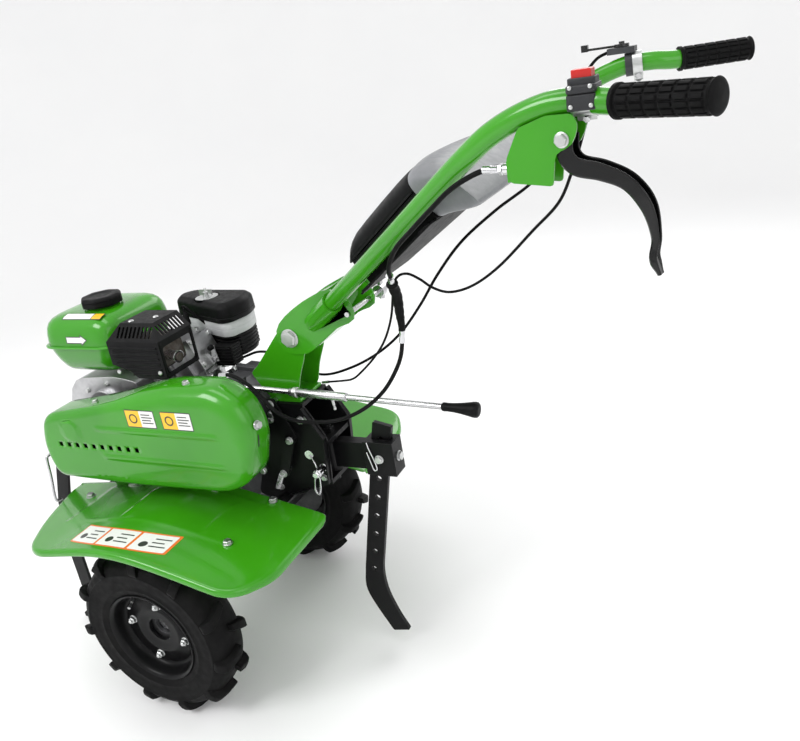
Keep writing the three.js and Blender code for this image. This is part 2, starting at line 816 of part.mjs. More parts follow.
// The guard's box with sloped upper sides, grown or shrunk evenly.
function guardForm(grow) {
  const [x0, x1] = [GUARD.x0 - grow, GUARD.x1 + grow];
  const [y0, y1] = [GUARD.y0 - grow, GUARD.y1 + grow];
  const top = GUARD.top + grow;
  const slope = 26;
  const gable = (a, b) => [
    [a, 600],
    [b, 600],
    [b, GUARD.edge],
    [b - slope, top],
    [a + slope, top],
    [a, GUARD.edge],
  ];
  const corners = [
    [x0, y0],
    [x1, y0],
    [x1, y1],
    [x0, y1],
  ];
  return plate("plan", rounded(corners, 12, 2), 600, top)
    .intersect(plate("side", gable(x0, x1), y0 - 1, y1 + 1))
    .intersect(plate("front", gable(y0, y1), x0 - 1, x1 + 1));
}

function mufflerGuard() {
  const below = block(-200, 200, -300, 100, 500, GUARD.low);
  const openRear = block(-200, 200, GUARD.y1 - 3.2, 0, 600, 806);
  const shell = cut(guardForm(0), guardForm(-3), below, openRear);
  const slots = [];
  for (let i = 0; i < 6; i += 1) {
    const x = GUARD.x0 + 24 + i * 17;
    slots.push(block(x, x + 7, GUARD.y0 - 5, GUARD.y0 + 24, GUARD.edge + 4, GUARD.top - 6));
    const y = GUARD.y0 + 26 + i * 11;
    slots.push(block(GUARD.x1 - 24, GUARD.x1 + 5, y, y + 6, GUARD.edge + 4, GUARD.top - 6));
  }
  const corner = plate(
    "side",
    [
      [GUARD.x0 - 10, GUARD.low - 10],
      [GUARD.x0 + 104, GUARD.low - 10],
      [GUARD.x0 - 10, GUARD.low + 34],
    ],
    -200,
    0,
  );
  return cut(shell, corner, ...slots, rod(...OUTLET, 10, 12));
}

const OUTLET = [
  [44, -108, 769],
  [88, -116, 764],
];

function muffler() {
  const outline = rounded([[-50, 756], [-44, 800], [52, 800], [58, 740], [30, 738]], 16, 3);
  const body = plate("side", outline, -138, -62);
  const pipe = tube([[20, -62.5, 770], [20, -54, 770], [18, -47, 768]], 11, { sides: 12, steps: 6 });
  return join(body, pipe, rod(...OUTLET, 9, 12));
}

const NUT = { x: 24, y: 84 }; // stud that clamps the air cleaner

// Air cleaner plan: the near edge runs skew to the engine.
const CLEANER_PLAN = [
  [-72, 84],
  [96, 20],
  [118, 30],
  [132, 82],
  [112, 142],
  [-52, 152],
  [-80, 122],
];

function cleanerLayer(shrink, low, high, round) {
  const layers = [
    [low, shrink],
    [high - round, shrink],
    [high - round * 0.35, shrink + round * 0.25],
    [high, shrink + round],
  ];
  return layered(CLEANER_PLAN, layers, 30);
}

function recoilHousing() {
  const profile = [
    [0.01, 150],
    [60, 150],
    [84, 142],
    [108, 116],
    [110, 88.3],
    [104, 88.3],
    [102, 114],
    [80, 137],
    [0.01, 144],
  ];
  const shell = turned(profile, CRANK, 20);
  const vents = circle(62, 6, CRANK.x, CRANK.z).map(([x, z]) => rodY({ x, z }, 130, 160, 9, 6));
  return cut(shell, ...vents);
}

const recoilHandle = join(
  rod([-104, 132, 712], [-104, 176, 712], 8, 14),
  rod([-104, 128.5, 712], [-104, 134, 712], 5, 12),
);
const handleBoss = () =>
  cut(rod([-104, 100, 700], [-104, 125, 711], 12, 12), rodY(CRANK, 60, 137, 101, 20));

function carburettor() {
  return join(
    rod([-12, 61, 678], [56, 61, 678], 13, 16),
    rod([24, 62, 668], [24, 62, 640], 15.5, 16),
    block(8, 42, 46, 77, 662, 690),
  );
}

addNode("crankcase", crankcase(), COLOURS.cast, 0.5, 0.6);
addNode("cylinder_block", cylinderBlock(), COLOURS.cast, 0.5, 0.6);
addNode("crankshaft", crankshaft(), COLOURS.steel, 0.35, 0.9);
addNode("recoil_housing", join(recoilHousing(), handleBoss()), COLOURS.black, 0.45, 0.2);
addNode("recoil_handle", recoilHandle, COLOURS.plastic, 0.6);
addNode("fuel_tank", fuelTank(), COLOURS.green, 0.3);
addNode("fuel_cap", fuelCap(), COLOURS.plastic, 0.5);
addNode("muffler", muffler(), COLOURS.iron, 0.5, 0.7);
addNode("muffler_guard", mufflerGuard(), COLOURS.black, 0.5, 0.2);
addNode("carburettor", carburettor(), COLOURS.cast, 0.4, 0.8);
addNode("air_cleaner_base", airCleanerBase(), COLOURS.plastic, 0.6);
addNode("air_cleaner_cover", airCleanerCover(), COLOURS.plastic, 0.5);
addNode("air_cleaner_nut", wingNut(), COLOURS.steel, 0.3, 0.9);
addNode("oil_dipstick", dipstick(), COLOURS.amber, 0.5);

function crankshaft() {
  const shaft = join(rodY(CRANK, -200, 128, 12, 18), rodY(CRANK, 92, 115, 20, 18));
  const flywheel = rodY(CRANK, 114, 120, 78, 24);
  const blades = Array.from({ length: 6 }, (_, i) => {
    const matrix = new THREE.Matrix4()
      .makeTranslation(CRANK.x, 0, CRANK.z)
      .multiply(new THREE.Matrix4().makeRotationY((Math.PI * i) / 3));
    return placed(block(40, 77, 119, 130, -2, 2), matrix);
  });
  return join(shaft, flywheel, ...blades);
}

function airCleanerBase() {
  const body = join(cleanerLayer(7, 700, 752, 3), cleanerLayer(5, 751, 783, 2));
  const clearHead = block(-200, 200, 0, 50, 600, 770);
  const neck = rod([26, 90, 701], [26, 90, 694], 8, 10);
  return cut(join(body, neck), clearHead);
}

function airCleanerCover() {
  const dish = rod([NUT.x, NUT.y, 823], [NUT.x, NUT.y, 830], 30, 24);
  const stud = rod([NUT.x, NUT.y, 820], [NUT.x, NUT.y, 846], 3.5, 10);
  return join(cut(cleanerLayer(0, 783.3, 826, 8), dish), stud);
}

function wingNut() {
  const bore = rod([NUT.x, NUT.y, 820], [NUT.x, NUT.y, 850], 3.8, 10);
  const wings = block(NUT.x - 17, NUT.x + 17, NUT.y - 2, NUT.y + 2, 830, 843);
  const disc = rod([NUT.x, NUT.y, 823.3], [NUT.x, NUT.y, 826.3], 26, 24);
  return cut(join(disc, rod([NUT.x, NUT.y, 826], [NUT.x, NUT.y, 838], 8, 14), wings), bore);
}

function dipstick() {
  return join(
    rod([-108, -96, 560], [-108, -110, 556], 13, 14),
    block(-120, -96, -115, -107, 553, 559),
  );
}

// ---------------------------------------------------------------- handlebar
function splayPoints(side) {
  const flip = ([x, y, z]) => [x, -side * y, z];
  return [
    TUBE_FOOT,
    [513, -104.5, 914.2],
    [656, -175.2, 1019.4],
    TUBE_KNEE,
    [862, -268, 1163],
    [925, -281, 1184],
    [975, -288, 1186],
    GRIP_START,
    GRIP_END,
  ].map(flip);
}

const handleTube = (side, radius, bore) =>
  tube(splayPoints(side), radius, { sides: 10, steps: 14, bore });

function pedestal() {
  const outline = rounded(
    [
      [236, 640],
      [300, 640],
      [314, 690],
      [338, 742],
      [346, 790],
      [308, 812],
      [284, 790],
      [214, 712],
      [196, 700],
    ],
    14,
    2,
  );
  const sides = [-1, 1].map((side) =>
    plate("side", outline, side < 0 ? -43 : 39, side < 0 ? -39 : 43),
  );
  const base = block(230, 306, -43, 43, 636 + GAP, 644);
  const web = plate("side", [[212, 700], [216, 695], [284, 772], [280, 777]], -40, 40);
  const bolt = join(
    rodY(PIVOT, -56, 56, 8, 16),
    rodY(PIVOT, -57, -48.2, 14, 6),
    rodY(PIVOT, 48.2, 57, 14, 6),
  );
  return join(cut(join(...sides, base, web), caseClearance()), bolt);
}

const LOCK = { x: 456, z: 830 };

function column() {
  const outline = rounded(
    [
      [290, 748],
      [282, 796],
      [312, 826],
      [360, 856],
      [424, 884],
      [468, 850],
      [470, 816],
      [420, 800],
      [350, 744],
    ],
    20,
    2,
  );
  const sides = [-1, 1].map((side) =>
    plate("side", outline, side < 0 ? -47.5 : 43.5, side < 0 ? -43.5 : 47.5),
  );
  const web = plate("side", [[372, 858], [424, 881], [426, 876], [374, 853]], -46, 46);
  const lowerWeb = plate("side", [[372, 768], [420, 804], [424, 799], [376, 763]], -46, 46);
  const sleeves = [-1, 1].map((side) => {
    const curve = new THREE.CatmullRomCurve3(splayPoints(side).map(vector), false, "catmullrom", 0.5);
    return rod(curve.getPoint(0).toArray(), curve.getPoint(0.062).toArray(), TUBE_RADIUS + 5, 12);
  });
  const bores = [-1, 1].map((side) => {
    const [start, end] = [vector(splayPoints(side)[0]), vector(splayPoints(side)[1])];
    const before = start.clone().lerp(end, -0.1).toArray();
    return rod(before, end.toArray(), TUBE_RADIUS + 1, 12);
  });
  const pivotBore = rodY(PIVOT, -60, 60, 8.3, 18);
  return cut(join(...sides, web, lowerWeb, ...sleeves), ...bores, pivotBore, lockBore());
}

const lockBore = () => rodY(LOCK, -60, 60, 5.4, 12);

function lockScrew() {
  const knob = join(rodY(LOCK, 86, 104, 13, 18), rod([LOCK.x, 100, 812], [LOCK.x, 100, 848], 6, 12));
  return join(rodY(LOCK, -52, 88, 5, 12), knob);
}

const GRIP_BORE = 17;

// A rubber grip with a collar at the hand's inner side and a closed end.
function grip(side) {
  const flip = ([x, y, z]) => [x, -side * y, z];
  const [from, to] = [flip(GRIP_START), flip(GRIP_END)];
  const length = vector(to).distanceTo(vector(from));
  const profile = [
    [GRIP_BORE, 2],
    [22, 2],
    [22, 7],
    [19.5, 9],
    [20, length + 2],
    [15, length + 9],
    [0, length + 10],
    [0, length + 2.5],
    [GRIP_BORE, length + 2.5],
  ];
  return turnedAlong(profile, from, to, 16);
}

// Frame of the clutch bracket: its X follows the left tube in plan.
const HEADING = Math.atan2(-20, 113);
const LEVER_PIVOT = [950, -285, 1144];
const leverFrame = new THREE.Matrix4()
  .makeTranslation(...LEVER_PIVOT)
  .multiply(new THREE.Matrix4().makeRotationZ(HEADING));

function clutchBracket() {
  const outline = rounded(
    [
      [-78, -20, 4],
      [-74, -50, 4],
      [-16, -56, 4],
      [-10, -16, 8],
      [14, -8, 12],
      [22, 18, 8],
      [14, 30, 4],
      [-20, 30, 4],
      [-58, 18, 6],
    ],
    6,
    2,
  );
  const walls = [-1, 1].map((side) =>
    plate("side", outline, side < 0 ? -16 : 13.5, side < 0 ? -13.5 : 16),
  );
  const nose = block(-79, -75, -15, 15, -49, -22);
  const roof = plate("side", [[-58, 14], [-20, 25], [14, 25], [14, 29], [-20, 29], [-58, 18]], -15, 15);
  const body = placed(join(...walls, nose, roof), leverFrame);
  const bores = placed(join(rodY({ x: 0, z: 0 }, -30, 30, 5.3, 14), cableBore()), leverFrame);
  return cut(body, handleTube(-1, TUBE_RADIUS + GAP), bores);
}

const cableBore = () => rod([-90, 0, -34], [-60, 0, -34], 5.2, 12);

function clutchLever() {
  const spine = new THREE.CatmullRomCurve3(
    [
      [0, 0, 4],
      [0, 0, -20],
      [16, 0, -36],
      [44, 0, -44],
      [76, 0, -62],
      [98, 0, -92],
      [104, 0, -130],
      [104, 0, -170],
    ].map(vector),
  );
  const count = 16;
  const upper = [];
  const lower = [];
  for (let i = 0; i <= count; i += 1) {
    const at = spine.getPointAt(i / count);
    const along = spine.getTangentAt(i / count);
    const half = 12 - 5 * (i / count);
    upper.push([at.x - along.z * half, at.z + along.x * half]);
    lower.push([at.x + along.z * half, at.z - along.x * half]);
  }
  const outline = [...upper, ...lower.reverse()];
  const channel = plate("side", outline, -12.5, 12.5);
  const hollow = plate(
    "side",
    outline.map(([x, z]) => [x - 3.2, z - 3.2]),
    -10,
    10,
  );
  const bore = rodY({ x: 0, z: 0 }, -30, 30, 5.3, 14);
  return placed(cut(channel, hollow, bore), leverFrame);
}

function switchHousing() {
  const body = block(957, 993, -311, -267, 1176, 1214);
  return cut(body, handleTube(-1, TUBE_RADIUS + GAP), block(962, 988, -301, -277, 1205.5, 1220));
}

const stopButton = block(963, 987, -300, -278, 1209, 1222);
function throttleBase() {
  const ring = turnedAlong(
    [[TUBE_RADIUS + 0.4, -9], [20, -9], [20, 9], [TUBE_RADIUS + 0.4, 9]],
    [936, 283, 1185],
    [960, 286.5, 1186],
    20,
  );
  const deck = block(898, 946, 268, 300, 1205.5, 1216);
  const post = block(930, 944, 276, 292, 1198, 1208);
  return cut(join(ring, deck, post), handleTube(1, TUBE_RADIUS + GAP), throttlePivot(5.3));
}

const THROTTLE_PIVOT = { x: 922, y: 284 };
const throttlePivot = (radius) =>
  rod([THROTTLE_PIVOT.x, THROTTLE_PIVOT.y, 1195], [THROTTLE_PIVOT.x, THROTTLE_PIVOT.y, 1230], radius, 14);

function throttleLever() {
  const { x, y } = THROTTLE_PIVOT;
  return join(
    rod([x, y, 1206], [x, y, 1226], 5, 14),
    rod([x, y, 1216.4], [x, y, 1222], 13, 18),
    block(x - 66, x - 6, y - 4, y + 4, 1217, 1221),
    block(x - 72, x - 60, y - 5, y + 5, 1216, 1228),
  );
}

// Tray frame: X up the slope of the tubes, Z square to them.
const trayFrame = new THREE.Matrix4()
  .makeTranslation(500, 0, 905)
  .multiply(new THREE.Matrix4().makeRotationY(-radians(TRAY_ANGLE)));
const tubeGap = (u) => 96 + 0.392 * u; // distance of a tube's axis from the middle plane

function trapezoid(u0, u1, inset) {
  return [
    [u0, -tubeGap(u0) + inset],
    [u1, -tubeGap(u1) + inset],
    [u1, tubeGap(u1) - inset],
    [u0, tubeGap(u0) - inset],
  ];
}

const BOX = { low: -24, start: 26, end: 246 };

function toolBox() {
  const outer = plate("plan", trapezoid(BOX.start, BOX.end, 22), -28, 25);
  const inner = plate("plan", trapezoid(BOX.start + 3, BOX.end - 3, 25.5), BOX.low + 3, 60);
  const sheet = plate("plan", trapezoid(8, 243, -4), -30, -26.5);
  const straps = [30, 226].map((u) =>
    block(u - 12, u + 12, -tubeGap(u) - 4, tubeGap(u) + 4, -30, -24.5),
  );
  return placed(cut(join(outer, sheet, ...straps), inner), trayFrame);
}

function toolBoxLid() {
  const side = [
    [BOX.start - 6, 26],
    [BOX.start + 6, 50],
    [BOX.start + 32, 65],
    [BOX.end - 40, 67],
    [BOX.end, 62],
    [BOX.end, 26],
  ];
  const crown = plate("front", [[-200, 20], [200, 20], [168, 40], [96, 68], [-96, 68], [-168, 40]], -20, 300);
  const solidLid = plate("side", rounded(side, 14, 3), -240, 240).intersect(crown);
  const walls = plate("plan", trapezoid(BOX.start - 6, BOX.end, 20), 24, 70);
  const hollow = plate("side", side.map(([u, n]) => [u, n - 3.5]), -240, 240);
  const inset = plate("plan", trapezoid(BOX.start, BOX.end - 3, 23), 20, 64);
  return placed(cut(solidLid.intersect(walls), hollow.intersect(inset)), trayFrame);
}

function controlPanel() {
  const start = BOX.end + 1;
  const side = [
    [start, 62],
    [start, -30],
    [310, -58],
    [326, -56],
    [322, -18],
    [300, 34],
  ];
  const width = plate("plan", trapezoid(start, 330, 21), -80, 90);
  const hollowWidth = plate("plan", trapezoid(start - 1, 327, 24.5), -90, 90);
  const outer = plate("side", rounded(side, 8, 2), -280, 280);
  const hollow = plate("side", inset(side, 3), -270, 270).intersect(hollowWidth);
  const rearWay = block(start - 2, start + 5, -150, 150, -20, 54);
  return placed(cut(outer.intersect(width), hollow, rearWay), trayFrame);
}


addNode("handle_pedestal", pedestal(), COLOURS.green, 0.3);
addNode("handle_column", column(), COLOURS.green, 0.3);
for (const [side, word] of [[-1, "left"], [1, "right"]]) {
  addNode(`handlebar_${word}`, handleTube(side, TUBE_RADIUS, TUBE_RADIUS - 2), COLOURS.green, 0.3);
  addNode(`grip_${word}`, grip(side), COLOURS.rubber, 0.8);
}
addNode("lock_screw", lockScrew(), COLOURS.zinc, 0.35, 0.9);
addNode("clutch_bracket", clutchBracket(), COLOURS.green, 0.3);
addNode("clutch_lever", clutchLever(), COLOURS.black, 0.4);
addNode("switch_housing", switchHousing(), COLOURS.plastic, 0.6);
addNode("stop_button", stopButton, COLOURS.red, 0.5);
addNode("throttle_base", throttleBase(), COLOURS.plastic, 0.5);
addNode("throttle_lever", throttleLever(), COLOURS.plastic, 0.5);
addNode("tool_tray", toolBox(), COLOURS.plastic, 0.8);
addNode("tool_box_lid", toolBoxLid(), COLOURS.plastic, 0.6);
addNode("control_panel", controlPanel(), COLOURS.grey, 0.6);

// ---------------------------------------------------------------- gear shift
const shiftRod = rod(SHIFT.from, SHIFT.to, 6, 14);
const shiftKnob = turnedAlong(
  [[0, -6], [9, -6], [12, 4], [15.5, 30], [15, 60], [11, 66], [0, 67]],
  SHIFT.to,
  [SHIFT.to[0] + 46.6, SHIFT.to[1], SHIFT.to[2] - 2.4],
  18,
);
addNode("shift_rod", cut(shiftRod, shiftKnob), COLOURS.steel, 0.35, 0.9);
addNode("shift_knob", shiftKnob, COLOURS.plastic, 0.7);

// ---------------------------------------------------------------- cables
const CABLES = {
  clutch_cable: {
    radius: 3.8,
    points: [
      [868, -264, 1113],
      [826, -262, 1108],
      [780, -256, 1088],
      [735, -238, 1056],
      [690, -218, 1022],
      [650, -198, 990],
      [622, -174, 955],
      [608, -146, 922],
      [604, -126, 890],
      [600, -118, 855],
      [596, -112, 822],
      [584, -106, 775],
      [562, -102, 735],
      [530, -100, 695],
      [486, -102, 660],
      [436, -108, 638],
      [390, -118, 634],
      [350, -136, 644],
      [320, -150, 668],
      [300, -158, 702],
      [272, -160, 732],
      [240, -158, 746],
      [212, -156, 744],
    ],
  },
  throttle_cable: {
    radius: 2.8,
    points: [
      [896, 284, 1210],
      [878, 272, 1202],
      [858, 244, 1178],
      [830, 230, 1152],
      [812, 216, 1114],
      [806, 190, 1056],
      [776, 150, 1014],
      [716, 104, 976],
      [656, 70, 930],
      [604, 60, 872],
      [556, 60, 808],
      [502, 62, 748],
      [440, 64, 702],
      [370, 66, 668],
      [300, 68, 650],
      [236, 66, 666],
      [190, 63, 697],
      [150, 60, 704],
      [104, 60, 690],
      [60, 61, 678],
    ],
  },
  stop_wire: {
    radius: 2.2,
    points: [
      [976, -262, 1178],
      [962, -254, 1140],
      [944, -246, 1096],
      [918, -226, 1052],
      [870, -196, 1008],
      [806, -170, 950],
      [752, -150, 914],
      [706, -136, 899],
      [674, -130, 905],
      [652, -129, 920],
      [630, -129, 930],
      [608, -125, 922],
      [592, -114, 894],
      [572, -98, 842],
      [540, -76, 790],
      [498, -50, 744],
      [448, -26, 700],
      [404, 12, 668],
      [360, 44, 648],
      [300, 58, 636],
    ],
  },
};
for (const [name, { radius, points }] of Object.entries(CABLES)) {
  addNode(name, tube(points, radius, { sides: 8, steps: 26 }), COLOURS.rubber, 0.6);
}

part.position.x = ORIGIN_SHIFT_X;
export default part;
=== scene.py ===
"""Looks for the mini cultivator: materials, smooth shells, fasteners, cables, camera and light.

Everything is made in working millimetres (origin under the axle) and turned into the row's metres by at().
"""

from math import atan2, ceil, copysign, cos, hypot, pi, radians, sin, sqrt

import bmesh
import bpy
import numpy as np
from mathutils import Matrix, Vector
from mathutils.geometry import delaunay_2d_cdt


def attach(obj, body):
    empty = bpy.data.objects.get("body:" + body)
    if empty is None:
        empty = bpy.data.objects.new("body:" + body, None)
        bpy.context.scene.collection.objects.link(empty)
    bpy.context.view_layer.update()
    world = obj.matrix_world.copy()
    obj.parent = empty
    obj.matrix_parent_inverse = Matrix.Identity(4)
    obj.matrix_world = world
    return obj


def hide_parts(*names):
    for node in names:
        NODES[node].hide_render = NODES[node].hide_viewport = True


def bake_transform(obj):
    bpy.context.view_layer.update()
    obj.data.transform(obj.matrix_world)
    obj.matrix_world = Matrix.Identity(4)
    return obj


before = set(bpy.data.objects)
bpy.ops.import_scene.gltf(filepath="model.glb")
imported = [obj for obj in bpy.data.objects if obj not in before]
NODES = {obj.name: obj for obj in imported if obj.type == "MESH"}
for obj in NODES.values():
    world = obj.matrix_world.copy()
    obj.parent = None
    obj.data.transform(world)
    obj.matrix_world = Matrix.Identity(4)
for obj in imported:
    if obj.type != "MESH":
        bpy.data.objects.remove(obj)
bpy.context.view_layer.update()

# ---------------------------------------------------------------- driving dimensions, working millimetres
ORIGIN_X = 327.0
AXLE = (0.0, 203.0)
HALF_TRACK = 288.0
WHEEL_BOLTS, WHEEL_BOLT_RADIUS = 4, 68.5
STUD_END = 4.0  # how far a stud stands out of its nut
COVER_FACE_Y = -212.0
CRANK = (-180.0, 625.0)
INPUT = (150.0, 612.0)
CASE_LOW, CASE_HIGH = 62, 82  # bolt circles of the gear case, round the axle and the input shaft
PIVOT = (315.0, 780.0)
CAP = (-186.0, -16.0)  # middle of the fuel cap
CAP_RADIUS = 47
TANK = {
    "x0": -312.0, "x1": -104.0, "y0": -106.0, "y1": 112.0, "flange": 775.0, "top": 842.0, "bottom": 708.0
}
TUBE_RADIUS = 16.0
CAMERA_AT = (0.8681, -1.2945, 1.2790)
CAMERA_TURN = (27.5, 21.8, -9.3)  # azimuth, elevation and roll in degrees
CAMERA_LENS = 36.13


def at(x, y, z):
    """A working point in millimetres as a row point in metres."""
    return Vector(((x - ORIGIN_X) / 1000, y / 1000, z / 1000))


# ---------------------------------------------------------------- curves and outlines
def catmull(points, steps):
    """A smooth line through points, steps pieces between each two."""
    p = [Vector(q) for q in points]
    p = [2 * p[0] - p[1], *p, 2 * p[-1] - p[-2]]
    line = []
    for a, b, c, d in zip(p, p[1:], p[2:], p[3:]):
        for i in range(steps):
            t = i / steps
            straight = 2 * b + (c - a) * t
            square = (2 * a - 5 * b + 4 * c - d) * t**2
            cube = (3 * b - a - 3 * c + d) * t**3
            line.append(0.5 * (straight + square + cube))
    line.append(p[-2])
    return line


def evenly(line, step):
    """The same line with points about step apart."""
    line = [Vector(p) for p in line]
    lengths = [0.0]
    for a, b in zip(line, line[1:]):
        lengths.append(lengths[-1] + (b - a).length)
    count = max(2, round(lengths[-1] / step))
    out = []
    j = 0
    for i in range(count + 1):
        s = lengths[-1] * i / count
        while j < len(line) - 2 and lengths[j + 1] < s:
            j += 1
        span = max(lengths[j + 1] - lengths[j], 1e-9)
        out.append(line[j].lerp(line[j + 1], (s - lengths[j]) / span))
    return out


def rounded(points, radius, steps=8):
    """A closed outline with its corners rounded; a third number in a point is its own radius."""
    out = []
    for i, point in enumerate(points):
        here = Vector(point[:2])
        own = point[2] if len(point) > 2 else radius
        before = Vector(points[i - 1][:2]) - here
        after = Vector(points[(i + 1) % len(points)][:2]) - here
        reach = min(own, before.length * 0.48, after.length * 0.48)
        a = here + before.normalized() * reach
        b = here + after.normalized() * reach
        for k in range(steps + 1):
            t = k / steps
            out.append(a * (1 - t) ** 2 + here * 2 * t * (1 - t) + b * t**2)
    return out


def smooth_line(points, steps, apart):
    """A smooth line through points, with its own points about apart from each other."""
    return evenly(catmull(points, steps), apart)


def circle(count, start=0.0):
    """Angles of count even steps round a full turn."""
    return [2 * pi * k / count + start for k in range(count)]


def across(axis):
    """A unit vector at right angles to axis."""
    side = axis.cross(Vector((0, 0, 1)))
    if side.length < 0.1:
        side = axis.cross(Vector((0, 1, 0)))
    return side.normalized()


def interpolated(table, x):
    """The value at x on the straight lines through a table of (x, value)."""
    for (x0, y0), (x1, y1) in zip(table, table[1:]):
        if x0 <= x <= x1:
            return y0 + (y1 - y0) * (x - x0) / (x1 - x0)
    return table[-1][1]


def word_of(side):
    return "left" if side < 0 else "right"


def densely(outline, step):
    """A closed outline with no edge longer than step."""
    out = []
    for a, b in zip(outline, outline[1:] + outline[:1]):
        pieces = max(1, ceil((b - a).length / step))
        out += [a.lerp(b, i / pieces) for i in range(pieces)]
    return out


def area_of(outline):
    """Positive for an outline that runs anticlockwise."""
    return 0.5 * sum(a.x * b.y - b.x * a.y for a, b in zip(outline, outline[1:] + outline[:1]))


def anticlockwise(outline):
    return outline[::-1] if area_of(outline) < 0 else outline


def inset(outline, distance):
    """The outline moved inwards along its normals, by one distance or by one for each point."""
    turn = 1 if area_of(outline) > 0 else -1
    out = []
    for i, p in enumerate(outline):
        along = outline[(i + 1) % len(outline)] - outline[i - 1]
        normal = Vector((-along.y, along.x)).normalized() * turn
        out.append(p + normal * (distance[i] if isinstance(distance, list) else distance))
    return out


def inside(outline, p):
    """Whether p lies inside the outline."""
    hit = False
    for a, b in zip(outline, outline[1:] + outline[:1]):
        if (a.y > p.y) != (b.y > p.y) and p.x < (b.x - a.x) * (p.y - a.y) / (b.y - a.y) + a.x:
            hit = not hit
    return hit


def slot_outline(x0, x1, y0, y1, steps=8):
    """A slot with round ends."""
    return rounded([(x0, y0), (x1, y0), (x1, y1), (x0, y1)], min(x1 - x0, y1 - y0) / 2, steps)


# ---------------------------------------------------------------- mesh pieces
class Piece:
    """One object under construction: vertices in row metres, faces and their materials."""

    def __init__(self, name, body, slot, *materials):
        self.name, self.body, self.slot, self.materials = name, body, slot, materials
        self.verts, self.faces, self.kinds = [], [], []

    def add(self, verts, faces, kind=0):
        """More faces; kind is the number of their material."""
        base = len(self.verts)
        self.verts += [Vector(v) for v in verts]
        self.faces += [[base + i for i in f] for f in faces]
        self.kinds += [kind] * len(faces)
        return self

    def made(self, sharp=32, bevel=0, segments=2, weld=True, thicken=0, replaces=(), outward=None):
        """The finished object; outward is a point that its faces look away from."""
        mesh = bpy.data.meshes.new(self.name)
        mesh.from_pydata([tuple(v) for v in self.verts], [], self.faces)
        for material in self.materials:
            mesh.materials.append(SURFACES[material])
        mesh.polygons.foreach_set("material_index", self.kinds)
        build = bmesh.new()
        build.from_mesh(mesh)
        if weld:
            bmesh.ops.remove_doubles(build, verts=build.verts, dist=1e-6)
        bmesh.ops.recalc_face_normals(build, faces=build.faces)
        if outward is not None:
            facing = sum(
                f.normal.dot(f.calc_center_median() - outward) * f.calc_area() for f in build.faces
            )
            if facing < 0:
                bmesh.ops.reverse_faces(build, faces=build.faces)
        build.to_mesh(mesh)
        build.free()
        mesh.shade_smooth()
        if not bevel:
            mesh.set_sharp_from_angle(angle=radians(sharp))
        obj = bpy.data.objects.new(self.name, mesh)
        bpy.context.scene.collection.objects.link(obj)
        if thicken:
            add_modifier(obj, "SOLIDIFY", thickness=thicken / 1000, offset=-1)
        if bevel:
            soften(obj, bevel, segments, sharp)
        if replaces:
            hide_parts(*replaces)
        if self.body:
            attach(obj, self.body)
        return obj


def add_modifier(obj, kind, **values):
    """A modifier of this kind, with its settings."""
    modifier = obj.modifiers.new(kind.lower(), kind)
    for key, value in values.items():
        setattr(modifier, key, value)
    return modifier


def soften(obj, width, segments=2, angle=32):
    """Rounded edges and even shading, as modifiers."""
    add_modifier(
        obj,
        "BEVEL",
        width=width / 1000,
        segments=segments,
        limit_method="ANGLE",
        angle_limit=radians(angle),
        use_clamp_overlap=True,
        miter_outer="MITER_ARC",
    )
    add_modifier(obj, "WEIGHTED_NORMAL", mode="FACE_AREA", weight=60, keep_sharp=False)


def lofted(loops, closed=True, caps=True):
    """Verts and faces that join loops of equal length."""
    count = len(loops[0])
    verts = [v for loop in loops for v in loop]
    faces = []
    for i in range(len(loops) - 1):
        for j in range(count if closed else count - 1):
            k = (j + 1) % count
            faces.append([i * count + j, i * count + k, (i + 1) * count + k, (i + 1) * count + j])
    if caps:
        faces.append(list(range(count))[::-1])
        faces.append([len(verts) - count + j for j in range(count)])
    return verts, faces


def frames_along(line):
    """Tangent, side and up vectors that don't twist along the line."""
    tangents = [
        (line[min(i + 1, len(line) - 1)] - line[max(i - 1, 0)]).normalized() for i in range(len(line))
    ]
    side = across(tangents[0])
    out = []
    for t in tangents:
        side = (side - t * side.dot(t)).normalized()
        out.append((t, side, t.cross(side)))
    return out


def swept(line, radius, sides=20, caps=True):
    """A round tube along a working-millimetre line; radius is a number or a function of the share."""
    line = [Vector(p) for p in line]
    loops = []
    for i, (p, (_, side, up)) in enumerate(zip(line, frames_along(line))):
        r = radius(i / (len(line) - 1)) if callable(radius) else radius
        loops.append([at(*(p + (side * cos(a) + up * sin(a)) * r)) for a in circle(sides)])
    return lofted(loops, caps=caps)


def turned(profile, start, direction, sides=48, closed=False):
    """Profile points (radius, distance along) turned about a line from start."""
    start, axis = Vector(start), Vector(direction).normalized()
    side = across(axis)
    up = axis.cross(side)
    loops = []
    for r, along in list(profile) + ([profile[0]] if closed else []):
        middle, r = start + axis * along, max(r, 0.001)
        loops.append([at(*(middle + (side * cos(a) + up * sin(a)) * r)) for a in circle(sides)])
    return lofted(loops, caps=not closed)


def prism(outline, place, low, high):
    """A plate: outline points through place(u, v, w) from w low to w high."""
    loops = [[place(p[0], p[1], w) for p in outline] for w in (low, high)]
    return lofted(loops)


def side_on(u, v, w):
    """A point of a plate seen from the left: u along the machine, v up and w across it."""
    return at(u, w, v)


def block(x0, x1, y0, y1, z0, z1, place=at):
    loops = [[place(x, y, z) for x, y in ((x0, y0), (x1, y0), (x1, y1), (x0, y1))] for z in (z0, z1)]
    return lofted(loops)


def hexagonal(place, rings, turn=0.0):
    """Verts and faces of a six-sided body from (radius, height) rings."""
    angles = [turn + k * pi / 3 for k in range(6)]
    return lofted(
        [[place(*Vector((r * cos(a), r * sin(a))), w) for a in angles] for r, w in rings]
    )


